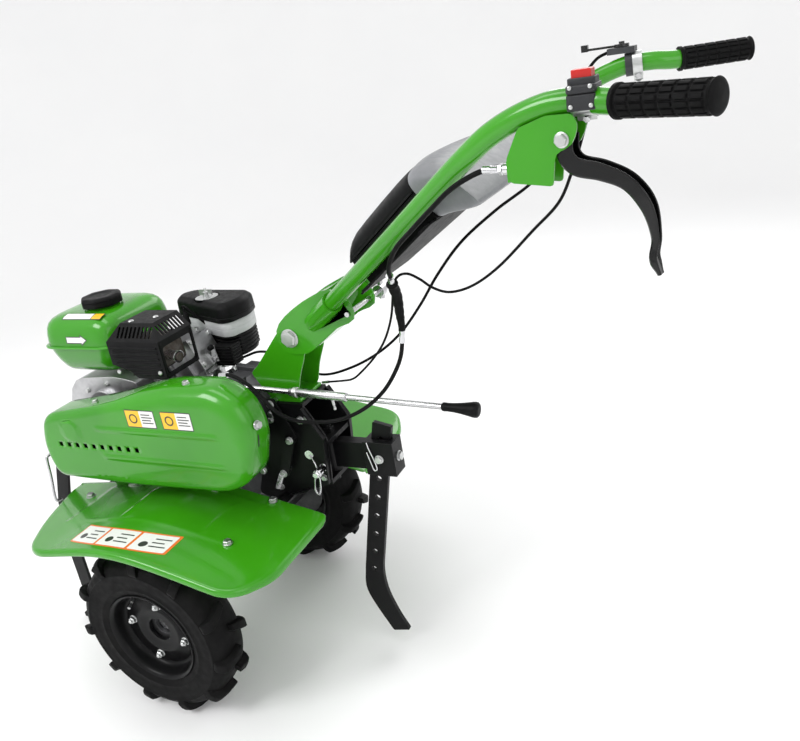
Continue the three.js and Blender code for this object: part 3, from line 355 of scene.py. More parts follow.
def frame_of(origin, axis):
    """place(u, v, w) with w along axis from origin."""
    origin, axis = Vector(origin), Vector(axis).normalized()
    side = across(axis)
    up = axis.cross(side)
    return lambda u, v, w: at(*(origin + side * u + up * v + axis * w))


def bolt(piece, spot, axis, size, kind=0, turn=0.2, head=None, washer=True):
    """A hexagon head with a chamfer on a washer, on a face at spot; size is the thread, head its height."""
    place = frame_of(spot, axis)
    high = head or size * 0.65
    low = 0.0
    if washer:
        low = size * 0.2
        disc = [(0, -0.5), (size * 1.08, -0.5), (size * 1.08, low - 0.3), (size, low), (0, low)]
        piece.add(*turned(disc, spot, axis, 28), kind)
    wide = size * 0.92
    rings = [(wide, low), (wide, low + high * 0.78), (wide * 0.86, low + high), (wide * 0.2, low + high)]
    piece.add(*hexagonal(place, rings, turn), kind)


def nut_on_stud(piece, spot, axis, size, kind=0, turn=0.4):
    """A nut with its stud end showing."""
    bolt(piece, spot, axis, size, kind, turn, size * 0.8)
    stud = [(size * 0.5, size - 1), (size * 0.5, size + STUD_END - 1), (size * 0.4, size + STUD_END)]
    piece.add(*turned(stud, spot, axis, 20), kind)


def screw(piece, spot, axis, radius):
    """A low domed screw head."""
    h = radius * 0.55
    profile = [
        (0, -0.5), (radius, -0.5), (radius, h * 0.35), (radius * 0.86, h * 0.75), (radius * 0.5, h), (0, h)
    ]
    piece.add(*turned(profile, spot, axis, 24))


# ---------------------------------------------------------------- materials
class Surface:
    """A procedural material round one Principled shader; sizes are in metres of the row frame."""

    def __init__(self, name, **sockets):
        self.material = bpy.data.materials.new(name)
        self.material.use_nodes = True
        self.tree = self.material.node_tree
        self.tree.nodes.clear()
        self.shader = self.node("ShaderNodeBsdfPrincipled")
        self.link(self.shader.outputs[0], self.node("ShaderNodeOutputMaterial").inputs["Surface"])
        self.coords = self.node("ShaderNodeTexCoord").outputs["Object"]
        for socket, value in sockets.items():
            self.shader.inputs[socket.replace("_", " ")].default_value = value

    def node(self, kind, **values):
        made = self.tree.nodes.new(kind)
        for key, value in values.items():
            setattr(made, key, value)
        return made

    def link(self, a, b):
        self.tree.links.new(a, b)

    def scaled(self, scale):
        mapping = self.node("ShaderNodeMapping")
        mapping.inputs["Scale"].default_value = scale
        self.link(self.coords, mapping.inputs["Vector"])
        return mapping.outputs[0]

    def noise(self, size, detail=3.0, roughness=0.55, stretch=None, distortion=0.0):
        """Noise whose features are about size metres across."""
        made = self.node("ShaderNodeTexNoise")
        made.inputs["Scale"].default_value = 1.0 / size
        made.inputs["Detail"].default_value = detail
        made.inputs["Roughness"].default_value = roughness
        made.inputs["Distortion"].default_value = distortion
        self.link(self.scaled(stretch or (1, 1, 1)), made.inputs["Vector"])
        return made.outputs["Fac"]

    def cells(self, size):
        """Distance to the middle of cells about size metres across."""
        made = self.node("ShaderNodeTexVoronoi", feature="F1")
        made.inputs["Scale"].default_value = 1.0 / size
        self.link(self.coords, made.inputs["Vector"])
        return made.outputs["Distance"]

    def edges(self):
        """Above one half on outer edges, below it in hollows."""
        return self.node("ShaderNodeNewGeometry").outputs["Pointiness"]

    def facing_up(self):
        """1 where a face looks up."""
        split = self.node("ShaderNodeSeparateXYZ")
        self.link(self.node("ShaderNodeNewGeometry").outputs["Normal"], split.inputs[0])
        return split.outputs["Z"]

    def spread(self, value, low, high, to_low=0.0, to_high=1.0):
        """value carried from low..high to to_low..to_high."""
        made = self.node("ShaderNodeMapRange")
        self.link(value, made.inputs["Value"])
        for socket, number in (
            ("From Min", low), ("From Max", high), ("To Min", to_low), ("To Max", to_high)
        ):
            made.inputs[socket].default_value = number
        return made.outputs[0]

    def times(self, a, b):
        made = self.node("ShaderNodeMath", operation="MULTIPLY")
        for socket, value in zip(made.inputs, (a, b)):
            self.link(value, socket)
        return made.outputs[0]

    def mixed(self, share, a, b):
        """Colour a where share is 0 and b where it is 1."""
        made = self.node("ShaderNodeMix", data_type="RGBA")
        self.link(share, made.inputs["Factor"])
        inputs = [s for s in made.inputs if s.type == "RGBA"]
        for socket, value in zip(inputs, (a, b)):
            if isinstance(value, tuple):
                socket.default_value = (*value, 1.0)
            else:
                self.link(value, socket)
        return next(s for s in made.outputs if s.type == "RGBA")

    def colour(self, value):
        self.link(value, self.shader.inputs["Base Color"])

    def rough(self, value):
        self.link(value, self.shader.inputs["Roughness"])

    def bump(self, height, depth, strength, after=None):
        """Relief of depth metres, laid over an earlier bump."""
        made = self.node("ShaderNodeBump")
        made.inputs["Strength"].default_value = strength
        made.inputs["Distance"].default_value = depth
        self.link(height, made.inputs["Height"])
        if after is not None:
            self.link(after, made.inputs["Normal"])
        self.link(made.outputs[0], self.shader.inputs["Normal"])
        return made.outputs[0]


def painted(name, base, dark, light, rough=(0.2, 0.32), coat=0.5, peel=0.00006, shine=0.5):
    """Sprayed enamel: slow tone changes, orange peel, thin lighter edges as a painted highlight, a trace of
    dust on top.
    """
    s = Surface(name, Coat_Weight=coat, Coat_Roughness=0.06, IOR=1.5, Specular_IOR_Level=shine)
    tone = s.mixed(s.spread(s.noise(0.3, 3), 0.35, 0.65), base, dark)
    # Painted highlight: convex edges are mixed towards the light colour.
    tone = s.mixed(s.spread(s.edges(), 0.52, 0.6, 0.0, 0.45), tone, light)
    dust = s.times(s.spread(s.facing_up(), 0.3, 1.0), s.spread(s.noise(0.03, 5), 0.45, 0.8, 0.0, 0.03))
    s.colour(s.mixed(dust, tone, tuple(c * 0.6 + 0.08 for c in light)))
    s.rough(s.spread(s.noise(0.12, 4, 0.6), 0.3, 0.75, rough[0], rough[1]))
    soft = s.bump(s.noise(0.0035, 2), peel, 0.5)
    s.bump(s.noise(0.12, 1), 0.0003, 0.12, soft)
    return s.material


def metal(name, base, dark, rough=(0.25, 0.42), grain=0.0006, depth=0.00004, stretch=None):
    """Bare or plated metal: fine grain, cloudy tone, painted shade that darkens its hollows."""
    s = Surface(name, Metallic=1.0)
    tone = s.mixed(s.spread(s.noise(0.02, 5, 0.65), 0.3, 0.7), base, dark)
    # Painted shade: hollows are mixed towards a darker copy of the dark colour.
    tone = s.mixed(s.spread(s.edges(), 0.5, 0.42, 0.0, 0.6), tone, tuple(c * 0.35 for c in dark))
    s.colour(tone)
    s.rough(s.spread(s.noise(0.008, 4, 0.7), 0.25, 0.75, rough[0], rough[1]))
    s.bump(s.noise(grain, 3, 0.6, stretch), depth, 0.6)
    return s.material


def cast(name, base, dark, metallic=0.9, rough=(0.38, 0.6), grain=0.0016, depth=0.00022):
    """Sand or die casting: pebbled skin, cloudy tone, painted shade in its corners."""
    s = Surface(name, Metallic=metallic)
    tone = s.mixed(s.spread(s.noise(0.03, 5, 0.65), 0.3, 0.7), base, dark)
    # Painted shade: corners and hollows are mixed towards a darker copy of the dark colour.
    tone = s.mixed(s.spread(s.edges(), 0.49, 0.4, 0.0, 0.75), tone, tuple(c * 0.2 for c in dark))
    s.colour(tone)
    s.rough(s.spread(s.noise(0.01, 4, 0.7), 0.3, 0.7, rough[0], rough[1]))
    first = s.bump(s.cells(grain * 1.6), depth, 0.35)
    s.bump(s.noise(grain, 4, 0.65), depth, 0.6, first)
    return s.material


def plastic(
    name, base, light, rough=(0.38, 0.54), grain=0.0011, depth=0.00009, coat=0.0, dust=0.05, shine=0.3
):
    """Moulded plastic: eroded grain, lighter edges as a painted highlight, a little dust on top."""
    s = Surface(name, Coat_Weight=coat, Coat_Roughness=0.12, IOR=1.47, Specular_IOR_Level=shine)
    tone = s.mixed(s.spread(s.noise(0.04, 5, 0.7), 0.35, 0.7), base, light)
    # Painted highlight: convex edges are mixed towards a brighter copy of the light colour.
    tone = s.mixed(
        s.spread(s.edges(), 0.52, 0.62, 0.0, 0.35), tone, tuple(min(1, c * 2.4 + 0.01) for c in light)
    )
    film = s.times(s.spread(s.facing_up(), 0.2, 1.0), s.spread(s.noise(0.02, 6, 0.7), 0.4, 0.8, 0.0, dust))
    s.colour(s.mixed(film, tone, (0.4, 0.39, 0.37)))
    s.rough(s.spread(s.noise(0.012, 4), 0.3, 0.7, rough[0], rough[1]))
    s.bump(s.cells(grain), depth, 0.5)
    return s.material


def rubber(name, base, dusty, rough, share):
    """Vulcanised rubber: fine pores and a thin grey bloom."""
    s = Surface(name, IOR=1.5, Specular_IOR_Level=0.075)
    bloom = s.spread(s.noise(0.05, 6, 0.7, distortion=0.6), 0.42, 0.78, 0.0, share)
    s.colour(s.mixed(bloom, base, dusty))
    s.rough(s.spread(s.noise(0.015, 5), 0.3, 0.7, rough[0], rough[1]))
    first = s.bump(s.noise(0.0009, 3, 0.6), 0.00008, 0.6)
    s.bump(s.noise(0.012, 3), 0.0003, 0.3, first)
    return s.material


def heated(name):
    """Exhaust steel with heat tints."""
    s = Surface(name, Metallic=0.85)
    tint = s.mixed(
        s.spread(s.noise(0.03, 5, 0.65, distortion=0.8), 0.35, 0.65), (0.08, 0.062, 0.055),
        (0.16, 0.142, 0.135),
    )
    s.colour(s.mixed(s.spread(s.noise(0.012, 4), 0.5, 0.75, 0.0, 0.6), tint, (0.06, 0.035, 0.02)))
    s.rough(s.spread(s.noise(0.01, 5), 0.3, 0.7, 0.45, 0.7))
    s.bump(s.noise(0.0012, 4), 0.00015, 0.5)
    return s.material


def film(name, base, tone):
    """Printed vinyl: a slight mottle under a satin film, with a soft ripple."""
    s = Surface(name, Coat_Weight=0.25, Coat_Roughness=0.2)
    s.colour(s.mixed(s.spread(s.noise(0.006, 4), 0.35, 0.75), base, tone))
    s.rough(s.spread(s.noise(0.02, 4), 0.3, 0.7, 0.32, 0.32 + 0.14))
    s.bump(s.noise(0.02, 2), 0.0001, 0.4)
    return s.material


def oil_amber(name):
    """Translucent amber moulding of the dipstick grip."""
    s = Surface(name, Subsurface_Weight=0.3, Subsurface_Scale=0.004, Coat_Weight=0.4)
    s.colour(s.mixed(s.spread(s.noise(0.01, 4), 0.3, 0.7), (0.62, 0.2, 0.012), (0.4, 0.11, 0.008)))
    s.rough(s.spread(s.noise(0.01, 4), 0.3, 0.7, 0.25, 0.4))
    s.bump(s.noise(0.002, 3), 0.00006, 0.5)
    return s.material


def sheet_white(name):
    """Matte studio paper."""
    s = Surface(name)
    s.colour(s.mixed(s.spread(s.noise(0.8, 3), 0.3, 0.7), (0.93, 0.93, 0.93), (0.915, 0.915, 0.918)))
    s.rough(s.spread(s.noise(0.3, 3), 0.3, 0.7, 0.75, 0.85))
    s.bump(s.noise(0.02, 3), 0.0001, 0.1)
    return s.material


SURFACES = {
    "green_paint": painted(
        "green_paint", (0.040, 0.290, 0.006), (0.030, 0.235, 0.004), (0.07, 0.4, 0.02), (0.16, 0.26), 0.4,
        shine=0.34,
    ),
    "black_paint": painted(
        "black_paint", (
            0.0055, 0.0055, 0.006
        ), (0.004, 0.004, 0.0042), (0.012, 0.012, 0.013), (0.28, 0.4), 0.0, 0.00012, 0.14
    ),
    "steel": metal(
        "steel", (0.62, 0.62, 0.63), (0.5, 0.5, 0.51), (0.2, 0.36), 0.0008, 0.00003, (1, 12, 12)
    ),
    "zinc": metal("zinc", (0.66, 0.67, 0.66), (0.52, 0.53, 0.53), (0.26, 0.42), 0.0009, 0.00005),
    "chrome": metal("chrome", (0.72, 0.72, 0.73), (0.62, 0.62, 0.64), (0.1, 0.2), 0.002, 0.00002),
    "cast_engine": cast("cast_engine", (0.6, 0.6, 0.61), (0.44, 0.44, 0.45), 0.95, (0.28, 0.46)),
    "gear_case": cast("gear_case", (0.075, 0.076, 0.08), (0.05, 0.05, 0.054), 0.5, (0.4, 0.58)),
    "dark_iron": cast("dark_iron", (0.09, 0.09, 0.093), (0.05, 0.05, 0.052), 0.7, (0.4, 0.6)),
    "heat_steel": heated("heat_steel"),
    "tyre_rubber": rubber("tyre_rubber", (0.005, 0.005, 0.0052), (0.022, 0.021, 0.02), (0.5, 0.7), 0.3),
    "black_rubber": rubber("black_rubber", (0.005, 0.005, 0.0052), (0.018, 0.018, 0.018), (0.42, 0.6), 0.2),
    "black_plastic": plastic(
        "black_plastic", (0.0035, 0.0035, 0.0038), (0.006, 0.006, 0.0065), dust=0.008, shine=0.11
    ),
    "gloss_plastic": plastic(
        "gloss_plastic", (0.004, 0.004, 0.0043), (0.007, 0.007, 0.0075), (0.2, 0.32), 0.0014, 0.00003, 0.4
    ),
    "grey_plastic": plastic(
        "grey_plastic", (0.2, 0.205, 0.215), (0.16, 0.165, 0.175), (0.35, 0.5), 0.0012, 0.00005
    ),
    "light_plastic": plastic(
        "light_plastic", (0.56, 0.57, 0.58), (0.48, 0.49, 0.5), (0.35, 0.5), 0.0012, 0.00004
    ),
    "gloss_black": painted(
        "gloss_black", (0.003, 0.003, 0.0032), (0.0025, 0.0025, 0.0027), (0.012, 0.012, 0.013),
        (0.14, 0.22), 0.3, shine=0.25,
    ),
    "dark_grey_plastic": plastic("dark_grey_plastic", (0.022, 0.023, 0.025), (0.03, 0.031, 0.034)),
    "red_plastic": plastic(
        "red_plastic", (0.52, 0.018, 0.014), (0.42, 0.014, 0.012), (0.28, 0.4), 0.0012, 0.00004, 0.3, 0.02
    ),
    "amber_plastic": oil_amber("amber_plastic"),
    "pulley_metal": cast(
        "pulley_metal", (0.4, 0.4, 0.41), (0.3, 0.3, 0.31), 0.95, (0.3, 0.48), 0.0012, 0.0001
    ),
    "label_white": film("label_white", (0.82, 0.82, 0.8), (0.76, 0.76, 0.75)),
    "label_yellow": film("label_yellow", (0.86, 0.52, 0.012), (0.8, 0.46, 0.01)),
    "label_orange": film("label_orange", (0.78, 0.16, 0.01), (0.7, 0.13, 0.01)),
    "label_black": film("label_black", (0.016, 0.016, 0.017), (0.022, 0.022, 0.023)),
    "studio": sheet_white("studio"),
}


# ---------------------------------------------------------------- CAD nodes that stay
# For each surface, the CAD nodes that wear it and the width of their rounded edges in millimetres.
NODE_FINISH = {
    "gear_case": (["gearbox_case_left", "gearbox_case_right"], 1.4),
    "green_paint": (["handle_pedestal", "handle_column", "clutch_bracket"], 1.2),
    "cast_engine": (["crankcase", "cylinder_block", "carburettor"], 0.9),
    "black_paint": (
        ["front_stand", "drawbar", "recoil_housing", "chassis", "hitch_bracket", "cover_backplate"], 1.0
    ),
    "black_plastic": (["air_cleaner_base", "recoil_handle"], 1.2),
    "dark_grey_plastic": (["throttle_base"], 1.6),
    "heat_steel": (["muffler"], 1.2),
    "dark_iron": (
        ["drive_chain", "tensioner_arm", "input_shaft", "crankshaft", "hub_left", "hub_right"], 0.8
    ),
    "pulley_metal": (["driven_pulley", "drive_pulley", "idler_pulley"], 0.8),
    "steel": (["axle_shaft", "shift_rod", "lock_screw"], 0.5),
    "zinc": (["air_cleaner_nut"], 0.6),
    "gloss_plastic": (["throttle_lever"], 0.6),
    "amber_plastic": (["oil_dipstick"], 0.8),
    "red_plastic": (["stop_button"], 1.2),
    "black_rubber": (["v_belt", "tool_tray"], 0.8),
}


def dressed(name, surface, width):
    """A CAD node gets its surface and rounded edges; its shape and place stay."""
    obj = NODES[name]
    mesh = obj.data
    mesh.materials.clear()
    mesh.materials.append(SURFACES[surface])
    mesh.polygons.foreach_set("material_index", [0] * len(mesh.polygons))
    mesh.polygons.foreach_set("use_smooth", [True] * len(mesh.polygons))
    if "custom_normal" in mesh.attributes:
        mesh.attributes.remove(mesh.attributes["custom_normal"])
    add_modifier(obj, "WELD", merge_threshold=2e-5)
    add_modifier(obj, "DECIMATE", decimate_type="DISSOLVE", angle_limit=radians(0.6))
    soften(obj, width, 3, 30)


for surface, (names, width) in NODE_FINISH.items():
    for name in names:
        dressed(name, surface, width)


# ---------------------------------------------------------------- wheels
TYRE_SIDE = [
    (104, 33.8), (108, 39), (116, 42.6), (122, 44), (124, 45.6), (127, 45.9), (129, 44.9), (140, 46.3),
    (152, 47),
]
TYRE_SIDE += [
    (158, 46.6), (160, 47.4), (163, 47.2), (165, 45.2), (174, 41.2), (181, 34), (185.5, 22), (187.6, 8)
]
LUG_OUTLINE = [
    (-4, 182), (-4, 202.6), (20, 201.8), (34, 198.5), (42, 194.5), (47.5, 184), (50, 172), (45, 160)
]
LUG_COUNT = 11
RIM_OUTER = [
    (28, 6), (28, 13), (40, 13.4), (50, 16.6), (57, 16.8), (61, 13.6), (80, 13.4), (84, 10.5), (91, 9.5),
    (95, 13),
]
RIM_OUTER += [
    (97.5, 21), (99, 30), (101, 37), (104, 41.4), (108.6, 43.4), (109.7, 41.6), (106.5, 38.6), (102.8, 34)
]


def wheel_point(side):
    """place(x, out, z) at a wheel's centre, with out pointing away from the machine."""
    return lambda x, out, z: at(AXLE[0] + x, side * (HALF_TRACK + out), AXLE[1] + z)


def ringed(profile, side, sides=144):
    """A closed profile (radius, out) turned about the axle."""
    place = wheel_point(side)
    loops = [
        [place(r * sin(a), out, r * cos(a)) for a in circle(sides)]
        for r, out in profile + profile[:1]
    ]
    return lofted(loops, caps=False)


def lug(side, row, turn):
    """One slanted tread bar, from the crown down over the shoulder."""
    place = wheel_point(side)
    c, s = cos(turn), sin(turn)
    loops = []
    for edge in (0, 0.5, 1):
        loop = []
        for out, r in LUG_OUTLINE:
            share = min(max((out + 4) / 47, 0), 1)
            x = (-17 + 20 * share) * (1 - edge) + (-1 + 25 * share) * edge
            z = sqrt(r * r - x * x)
            loop.append(place(x * c + z * s, out * row, z * c - x * s))
        loops.append(loop)
    return lofted(loops)


def wheel(side):
    """Carcass, lugs, rim, and bolts with the valve stem."""
    word = word_of(side)
    tyre = Piece(f"tyre_{word}_carcass", "wheels", "tyre_rubber", "tyre_rubber")
    profile = TYRE_SIDE + [(r, -out) for r, out in reversed(TYRE_SIDE)]
    profile += [(103.6, -20), (103.6, 20)]
    tyre.add(*ringed(profile, side))
    tyre.made(sharp=40, replaces=[f"tyre_{word}"])
    tread = Piece(f"tyre_{word}_lugs", "wheels", "tyre_rubber", "tyre_rubber")
    for i in range(LUG_COUNT):
        step = 2 * pi / LUG_COUNT
        tread.add(*lug(side, 1, i * step))
        tread.add(*lug(side, -1, (i + 0.5) * step))
    tread.made(bevel=2.6, segments=3, sharp=25)
    rim = Piece(f"rim_{word}_pressed", "wheels", "black_paint", "black_paint")
    inner = [
        (102.2, 26), (102.2, -26), (102.8, -34), (106.5, -38.6), (109.7, -41.6), (108.6, -43.4),
        (104, -41.4),
    ]
    inner += [(101, -37), (99, -30), (97.5, -20), (97, -6), (94, 2), (84, 5), (60, 5.6)]
    rim.add(*ringed(RIM_OUTER + inner, side))
    rim.made(sharp=50, replaces=[f"rim_{word}"])
    bolts = Piece(f"wheel_bolts_{word}", "wheels", "zinc", "zinc", "steel")
    for k in range(WHEEL_BOLTS):
        a = -0.24 + k * pi / 2
        x, z = WHEEL_BOLT_RADIUS * cos(a), WHEEL_BOLT_RADIUS * sin(a)
        spot = (AXLE[0] + x, side * (HALF_TRACK + 13.4), AXLE[1] + z)
        nut_on_stud(bolts, spot, (0, side, 0), 9, 0, 0.3 * k)
    valve = (AXLE[0] + 88 * cos(2.2), side * (HALF_TRACK + 9), AXLE[1] + 88 * sin(2.2))
    stem = [(3.4, 0), (3.4, 12), (2.6, 13), (2.6, 20), (3.6, 20.5), (3.6, 26), (2.5, 27)]
    bolts.add(*turned(stem, valve, (0.25, side, -0.3), 20))
    bolts.made(sharp=30)


for side in (-1, 1):
    wheel(side)


# ---------------------------------------------------------------- pressed and moulded shells
def sheeted(outline, holes, x_steps, y_steps, margin=1.5):
    """Flat triangles that fill outline, less holes, on a grid of the given lines; points are 2-D."""
    points = list(outline)
    edges = [(i, (i + 1) % len(outline)) for i in range(len(outline))]
    for hole in holes:
        base = len(points)
        points += hole
        edges += [(base + i, base + (i + 1) % len(hole)) for i in range(len(hole))]
    guard = inset(outline, margin)
    for x in x_steps:
        for y in y_steps:
            p = Vector((x, y))
            if inside(guard, p) and not any(inside(inset(h, -margin), p) for h in holes):
                points.append(p)
    made, _, faces, _, _, _ = delaunay_2d_cdt(points, edges, [], 0, 1e-4)
    kept = []
    for face in faces:
        middle = sum((made[i] for i in face), Vector((0, 0))) / len(face)
        if inside(outline, middle) and not any(inside(h, middle) for h in holes):
            kept.append(face)
    return made, kept


def steps(low, high, step, *extra):
    """Grid lines from low to high about step apart, and the extra ones."""
    count = max(1, round((high - low) / step))
    grid = {round(low + (high - low) * i / count, 3) for i in range(count + 1)}
    return sorted(grid | set(extra))


def hump(value, low, high, soft):
    """1 between low and high, falling smoothly to 0 over soft on each side."""
    t = min((value - low) / soft + 1, (high - value) / soft + 1, 1)
    t = max(t, 0)
    return t * t * (3 - 2 * t)


COVER_OUTLINE = rounded(
    [
        (-268, 503, 30), (-287, 575, 60), (-262, 656, 40), (-190, 669, 60), (-60, 691, 90), (70, 731, 60),
        (215, 735, 60), (270, 706, 40), (292, 640, 60), (262, 534, 50), (200, 506, 40), (-40, 500, 60),
    ],
    40,
    10,
)


COVER_HOLES, COVER_HOLE, COVER_HOLE_PITCH = 10, 11, 24
FIRST_COVER_HOLE = (-226, 586.5)


def square_hole(x, y, wide):
    return [(x, y), (x + wide, y), (x + wide, y + wide), (x, y + wide)]


def cover_face(x, z):
    """How far the belt cover's face stands out beyond its plane."""
    rib = hump(x, -96, 206, 12) * max(hump(z, 633, 639, 4.5), hump(z, 567, 573, 4.5))
    blister = hump(hypot(x - CRANK[0], z - CRANK[1]), -1, 21, 8)
    return 2.0 * rib + 2.6 * blister


def belt_cover():
    """The pressed cover: a wall, an edge that is broader at the rear, and a face with its row of holes."""
    piece = Piece("belt_cover_shell", "frame", "green_paint", "green_paint")
    outline = anticlockwise(densely(COVER_OUTLINE, 9))
    broad = [hump(p.x, 60, 400, 120) * hump(p.y, 640, 900, 60) for p in outline]
    rims = [20 + 20 * b for b in broad]
    deeps = [17 + 15 * b for b in broad]
    loops = [[at(p.x, y, p.y) for p in outline] for y in (-140.2, -150, -165)]
    for k in range(9):
        a = pi / 2 * k / 8
        ring = inset(outline, [rim * (1 - cos(a)) for rim in rims])
        loops.append(
            [at(p.x, COVER_FACE_Y + deep * (1 - sin(a)), p.y) for p, deep in zip(ring, deeps)]
        )
    piece.add(*lofted(loops, caps=False))
    edge = inset(outline, rims)
    holes = []
    for i in range(COVER_HOLES):
        x = FIRST_COVER_HOLE[0] + COVER_HOLE_PITCH * i
        holes.append(rounded(square_hole(x, FIRST_COVER_HOLE[1], COVER_HOLE), 2.4, 4))
    made, faces = sheeted(edge, holes, steps(-280, 284, 8), steps(504, 728, 3))
    piece.add([at(p.x, COVER_FACE_Y - cover_face(p.x, p.y), p.y) for p in made], faces)
    piece.made(sharp=60, replaces=["belt_cover"], outward=at(0, -150, 610), thicken=2.2)


FENDER_ARCH = [(-400, 406), (-356, 410), (-190, 430), (20, 457), (270, 415), (350, 396), (400, 380)]
FENDER_PLAN = [
    (-350, 92, 8), (-350, 130, 20), (-300, 262, 60), (-225, 376, 60), (-120, 378, 60),
    (60, 380, 80), (300, 384, 60), (342, 300, 30), (342, 88, 12),
]
ARCH = [(p.x, p.z) for p in catmull([(x, 0, z) for x, z in FENDER_ARCH], 24)]


def fender_top(x, y):
    """Upper face of a fender, with its raised field and ribs; y is the distance from the middle."""
    rib = 1.6 * hump(y, 150, 250, 8) * max(hump(x, -58, -50, 5), hump(x, 152, 160, 5))
    return interpolated(ARCH, x) + rib + 0.9 * hump(x, -215, 210, 7) * hump(y, 120, 262, 7)


def fender(side):
    """One pressed fender with a rolled edge."""
    word = word_of(side)
    piece = Piece(f"fender_{word}_pressing", "frame", "green_paint", "green_paint")
    outline = anticlockwise(densely(rounded(FENDER_PLAN, 40, 10), 9))
    # The rolled edge, as (inward, down); the drop is smaller along the inner side.
    profile = [
        (2.4, -15.6), (0.9, -14.6), (0, -12.5), (0, -8.5), (0.9, -4.8), (2.8, -1.9), (5.4, -0.4), (8.5, 0)
    ]
    loops = []
    for shift, drop in profile:
        ring = inset(outline, shift)
        loop = []
        for p, q in zip(ring, outline):
            share = 0.16 + 0.84 * hump(q.y, 104, 900, 10)
            loop.append(at(p.x, side * p.y, fender_top(p.x, p.y) + drop * share))
        loops.append(loop)
    piece.add(*lofted(loops, caps=False))
    edge = inset(outline, 8.5)
    grid_x = steps(-345, 340, 9, -219, -212, 207, 214, -62, -55, -48, 148, 156, 163)
    made, faces = sheeted(edge, [], grid_x, steps(96, 376, 9, 116, 123, 259, 266))
    piece.add([at(p.x, side * p.y, fender_top(p.x, p.y)) for p in made], faces)
    piece.made(sharp=60, replaces=[f"fender_{word}"], outward=at(0, side * 230, -900), thicken=2.0)


# The tank above its seam: how far its wall is drawn in, and the height there.
TANK_SHOULDER = [
    (0, 787), (1.4, 801), (4.5, 816), (9, 825.5), (16, 833), (26, 838), (38, 840.6), (54, 841.8), (72, 842)
]


def tank_loop(shift, z):
    """The tank's rounded plan, drawn in by shift, at height z."""
    corners = [
        (TANK["x0"] + shift, TANK["y0"] + shift), (TANK["x1"] - shift, TANK["y0"] + shift),
        (TANK["x1"] - shift, TANK["y1"] - shift), (TANK["x0"] + shift, TANK["y1"] - shift),
    ]
    return [at(p.x, p.y, z) for p in rounded(corners, max(46 - shift * 0.4, 16), 12)]


def fuel_tank():
    """Two pressed halves with their seam, and the neck under the cap."""
    piece = Piece("fuel_tank_shell", "frame", "green_paint", "green_paint")
    flange, top, bottom = TANK["flange"], TANK["top"], TANK["bottom"]
    lower = [
        (90, bottom - 0.5), (60, bottom), (40, bottom), (29, bottom + 2), (22, bottom + 7),
        (16.5, bottom + 15),
    ]
    lower += [(10, bottom + 30), (5, bottom + 46), (2, flange - 8), (0.4, flange - 2.6)]
    seam = [
        (-4.6, flange - 2.4), (-6, flange - 1.4), (-6, flange + 1.4), (-4.6, flange + 2.4),
        (0, flange + 2.8),
    ]
    piece.add(*lofted([tank_loop(*level) for level in lower + seam + TANK_SHOULDER + [(90, top)]]))
    spot = (*CAP, TANK["top"] - 2)
    neck = [(40, 0), (39, 1.5), (35, 3), (32, 4.6), (29, 5), (29, 0)]
    piece.add(*turned(neck, spot, (0, 0, 1), 64))
    piece.made(sharp=42, replaces=["fuel_tank"])


def fuel_cap():
    """An eight-sided cap with a groove and a low crown."""
    piece = Piece("fuel_cap_moulding", "fuel_cap", "black_plastic", "black_plastic")
    loops = []
    angles = [pi / 8 + k * pi / 4 for k in range(8)]
    base = [(CAP_RADIUS * cos(a), CAP_RADIUS * sin(a)) for a in angles]
    levels = [
        (0.6, 847.4), (0, 848.6), (0, 858.6), (1.1, 859.0), (1.1, 860), (0, 860.4), (0, 862), (1.2, 865.2),
        (3.6, 867.4),
    ]
    levels += [(7, 868), (20, 868), (22, 867.2), (30, 866.8)]
    for shift, z in levels:
        scale = (CAP_RADIUS - shift) / CAP_RADIUS
        loops.append([at(CAP[0] + p.x * scale, CAP[1] + p.y * scale, z) for p in rounded(base, 6, 5)])
    piece.add(*lofted(loops))
    piece.made(sharp=38, replaces=["fuel_cap"])


CLEANER_PLAN = [(-72, 84), (96, 20), (118, 30), (132, 82), (112, 142), (-52, 152), (-80, 122)]
NUT = (24, 84)


def stacked(outline, levels):
    """Rings of the outline: drawn in by shift at height z for each (shift, z)."""
    return [[at(p.x, p.y, z) for p in inset(outline, shift)] for shift, z in levels]


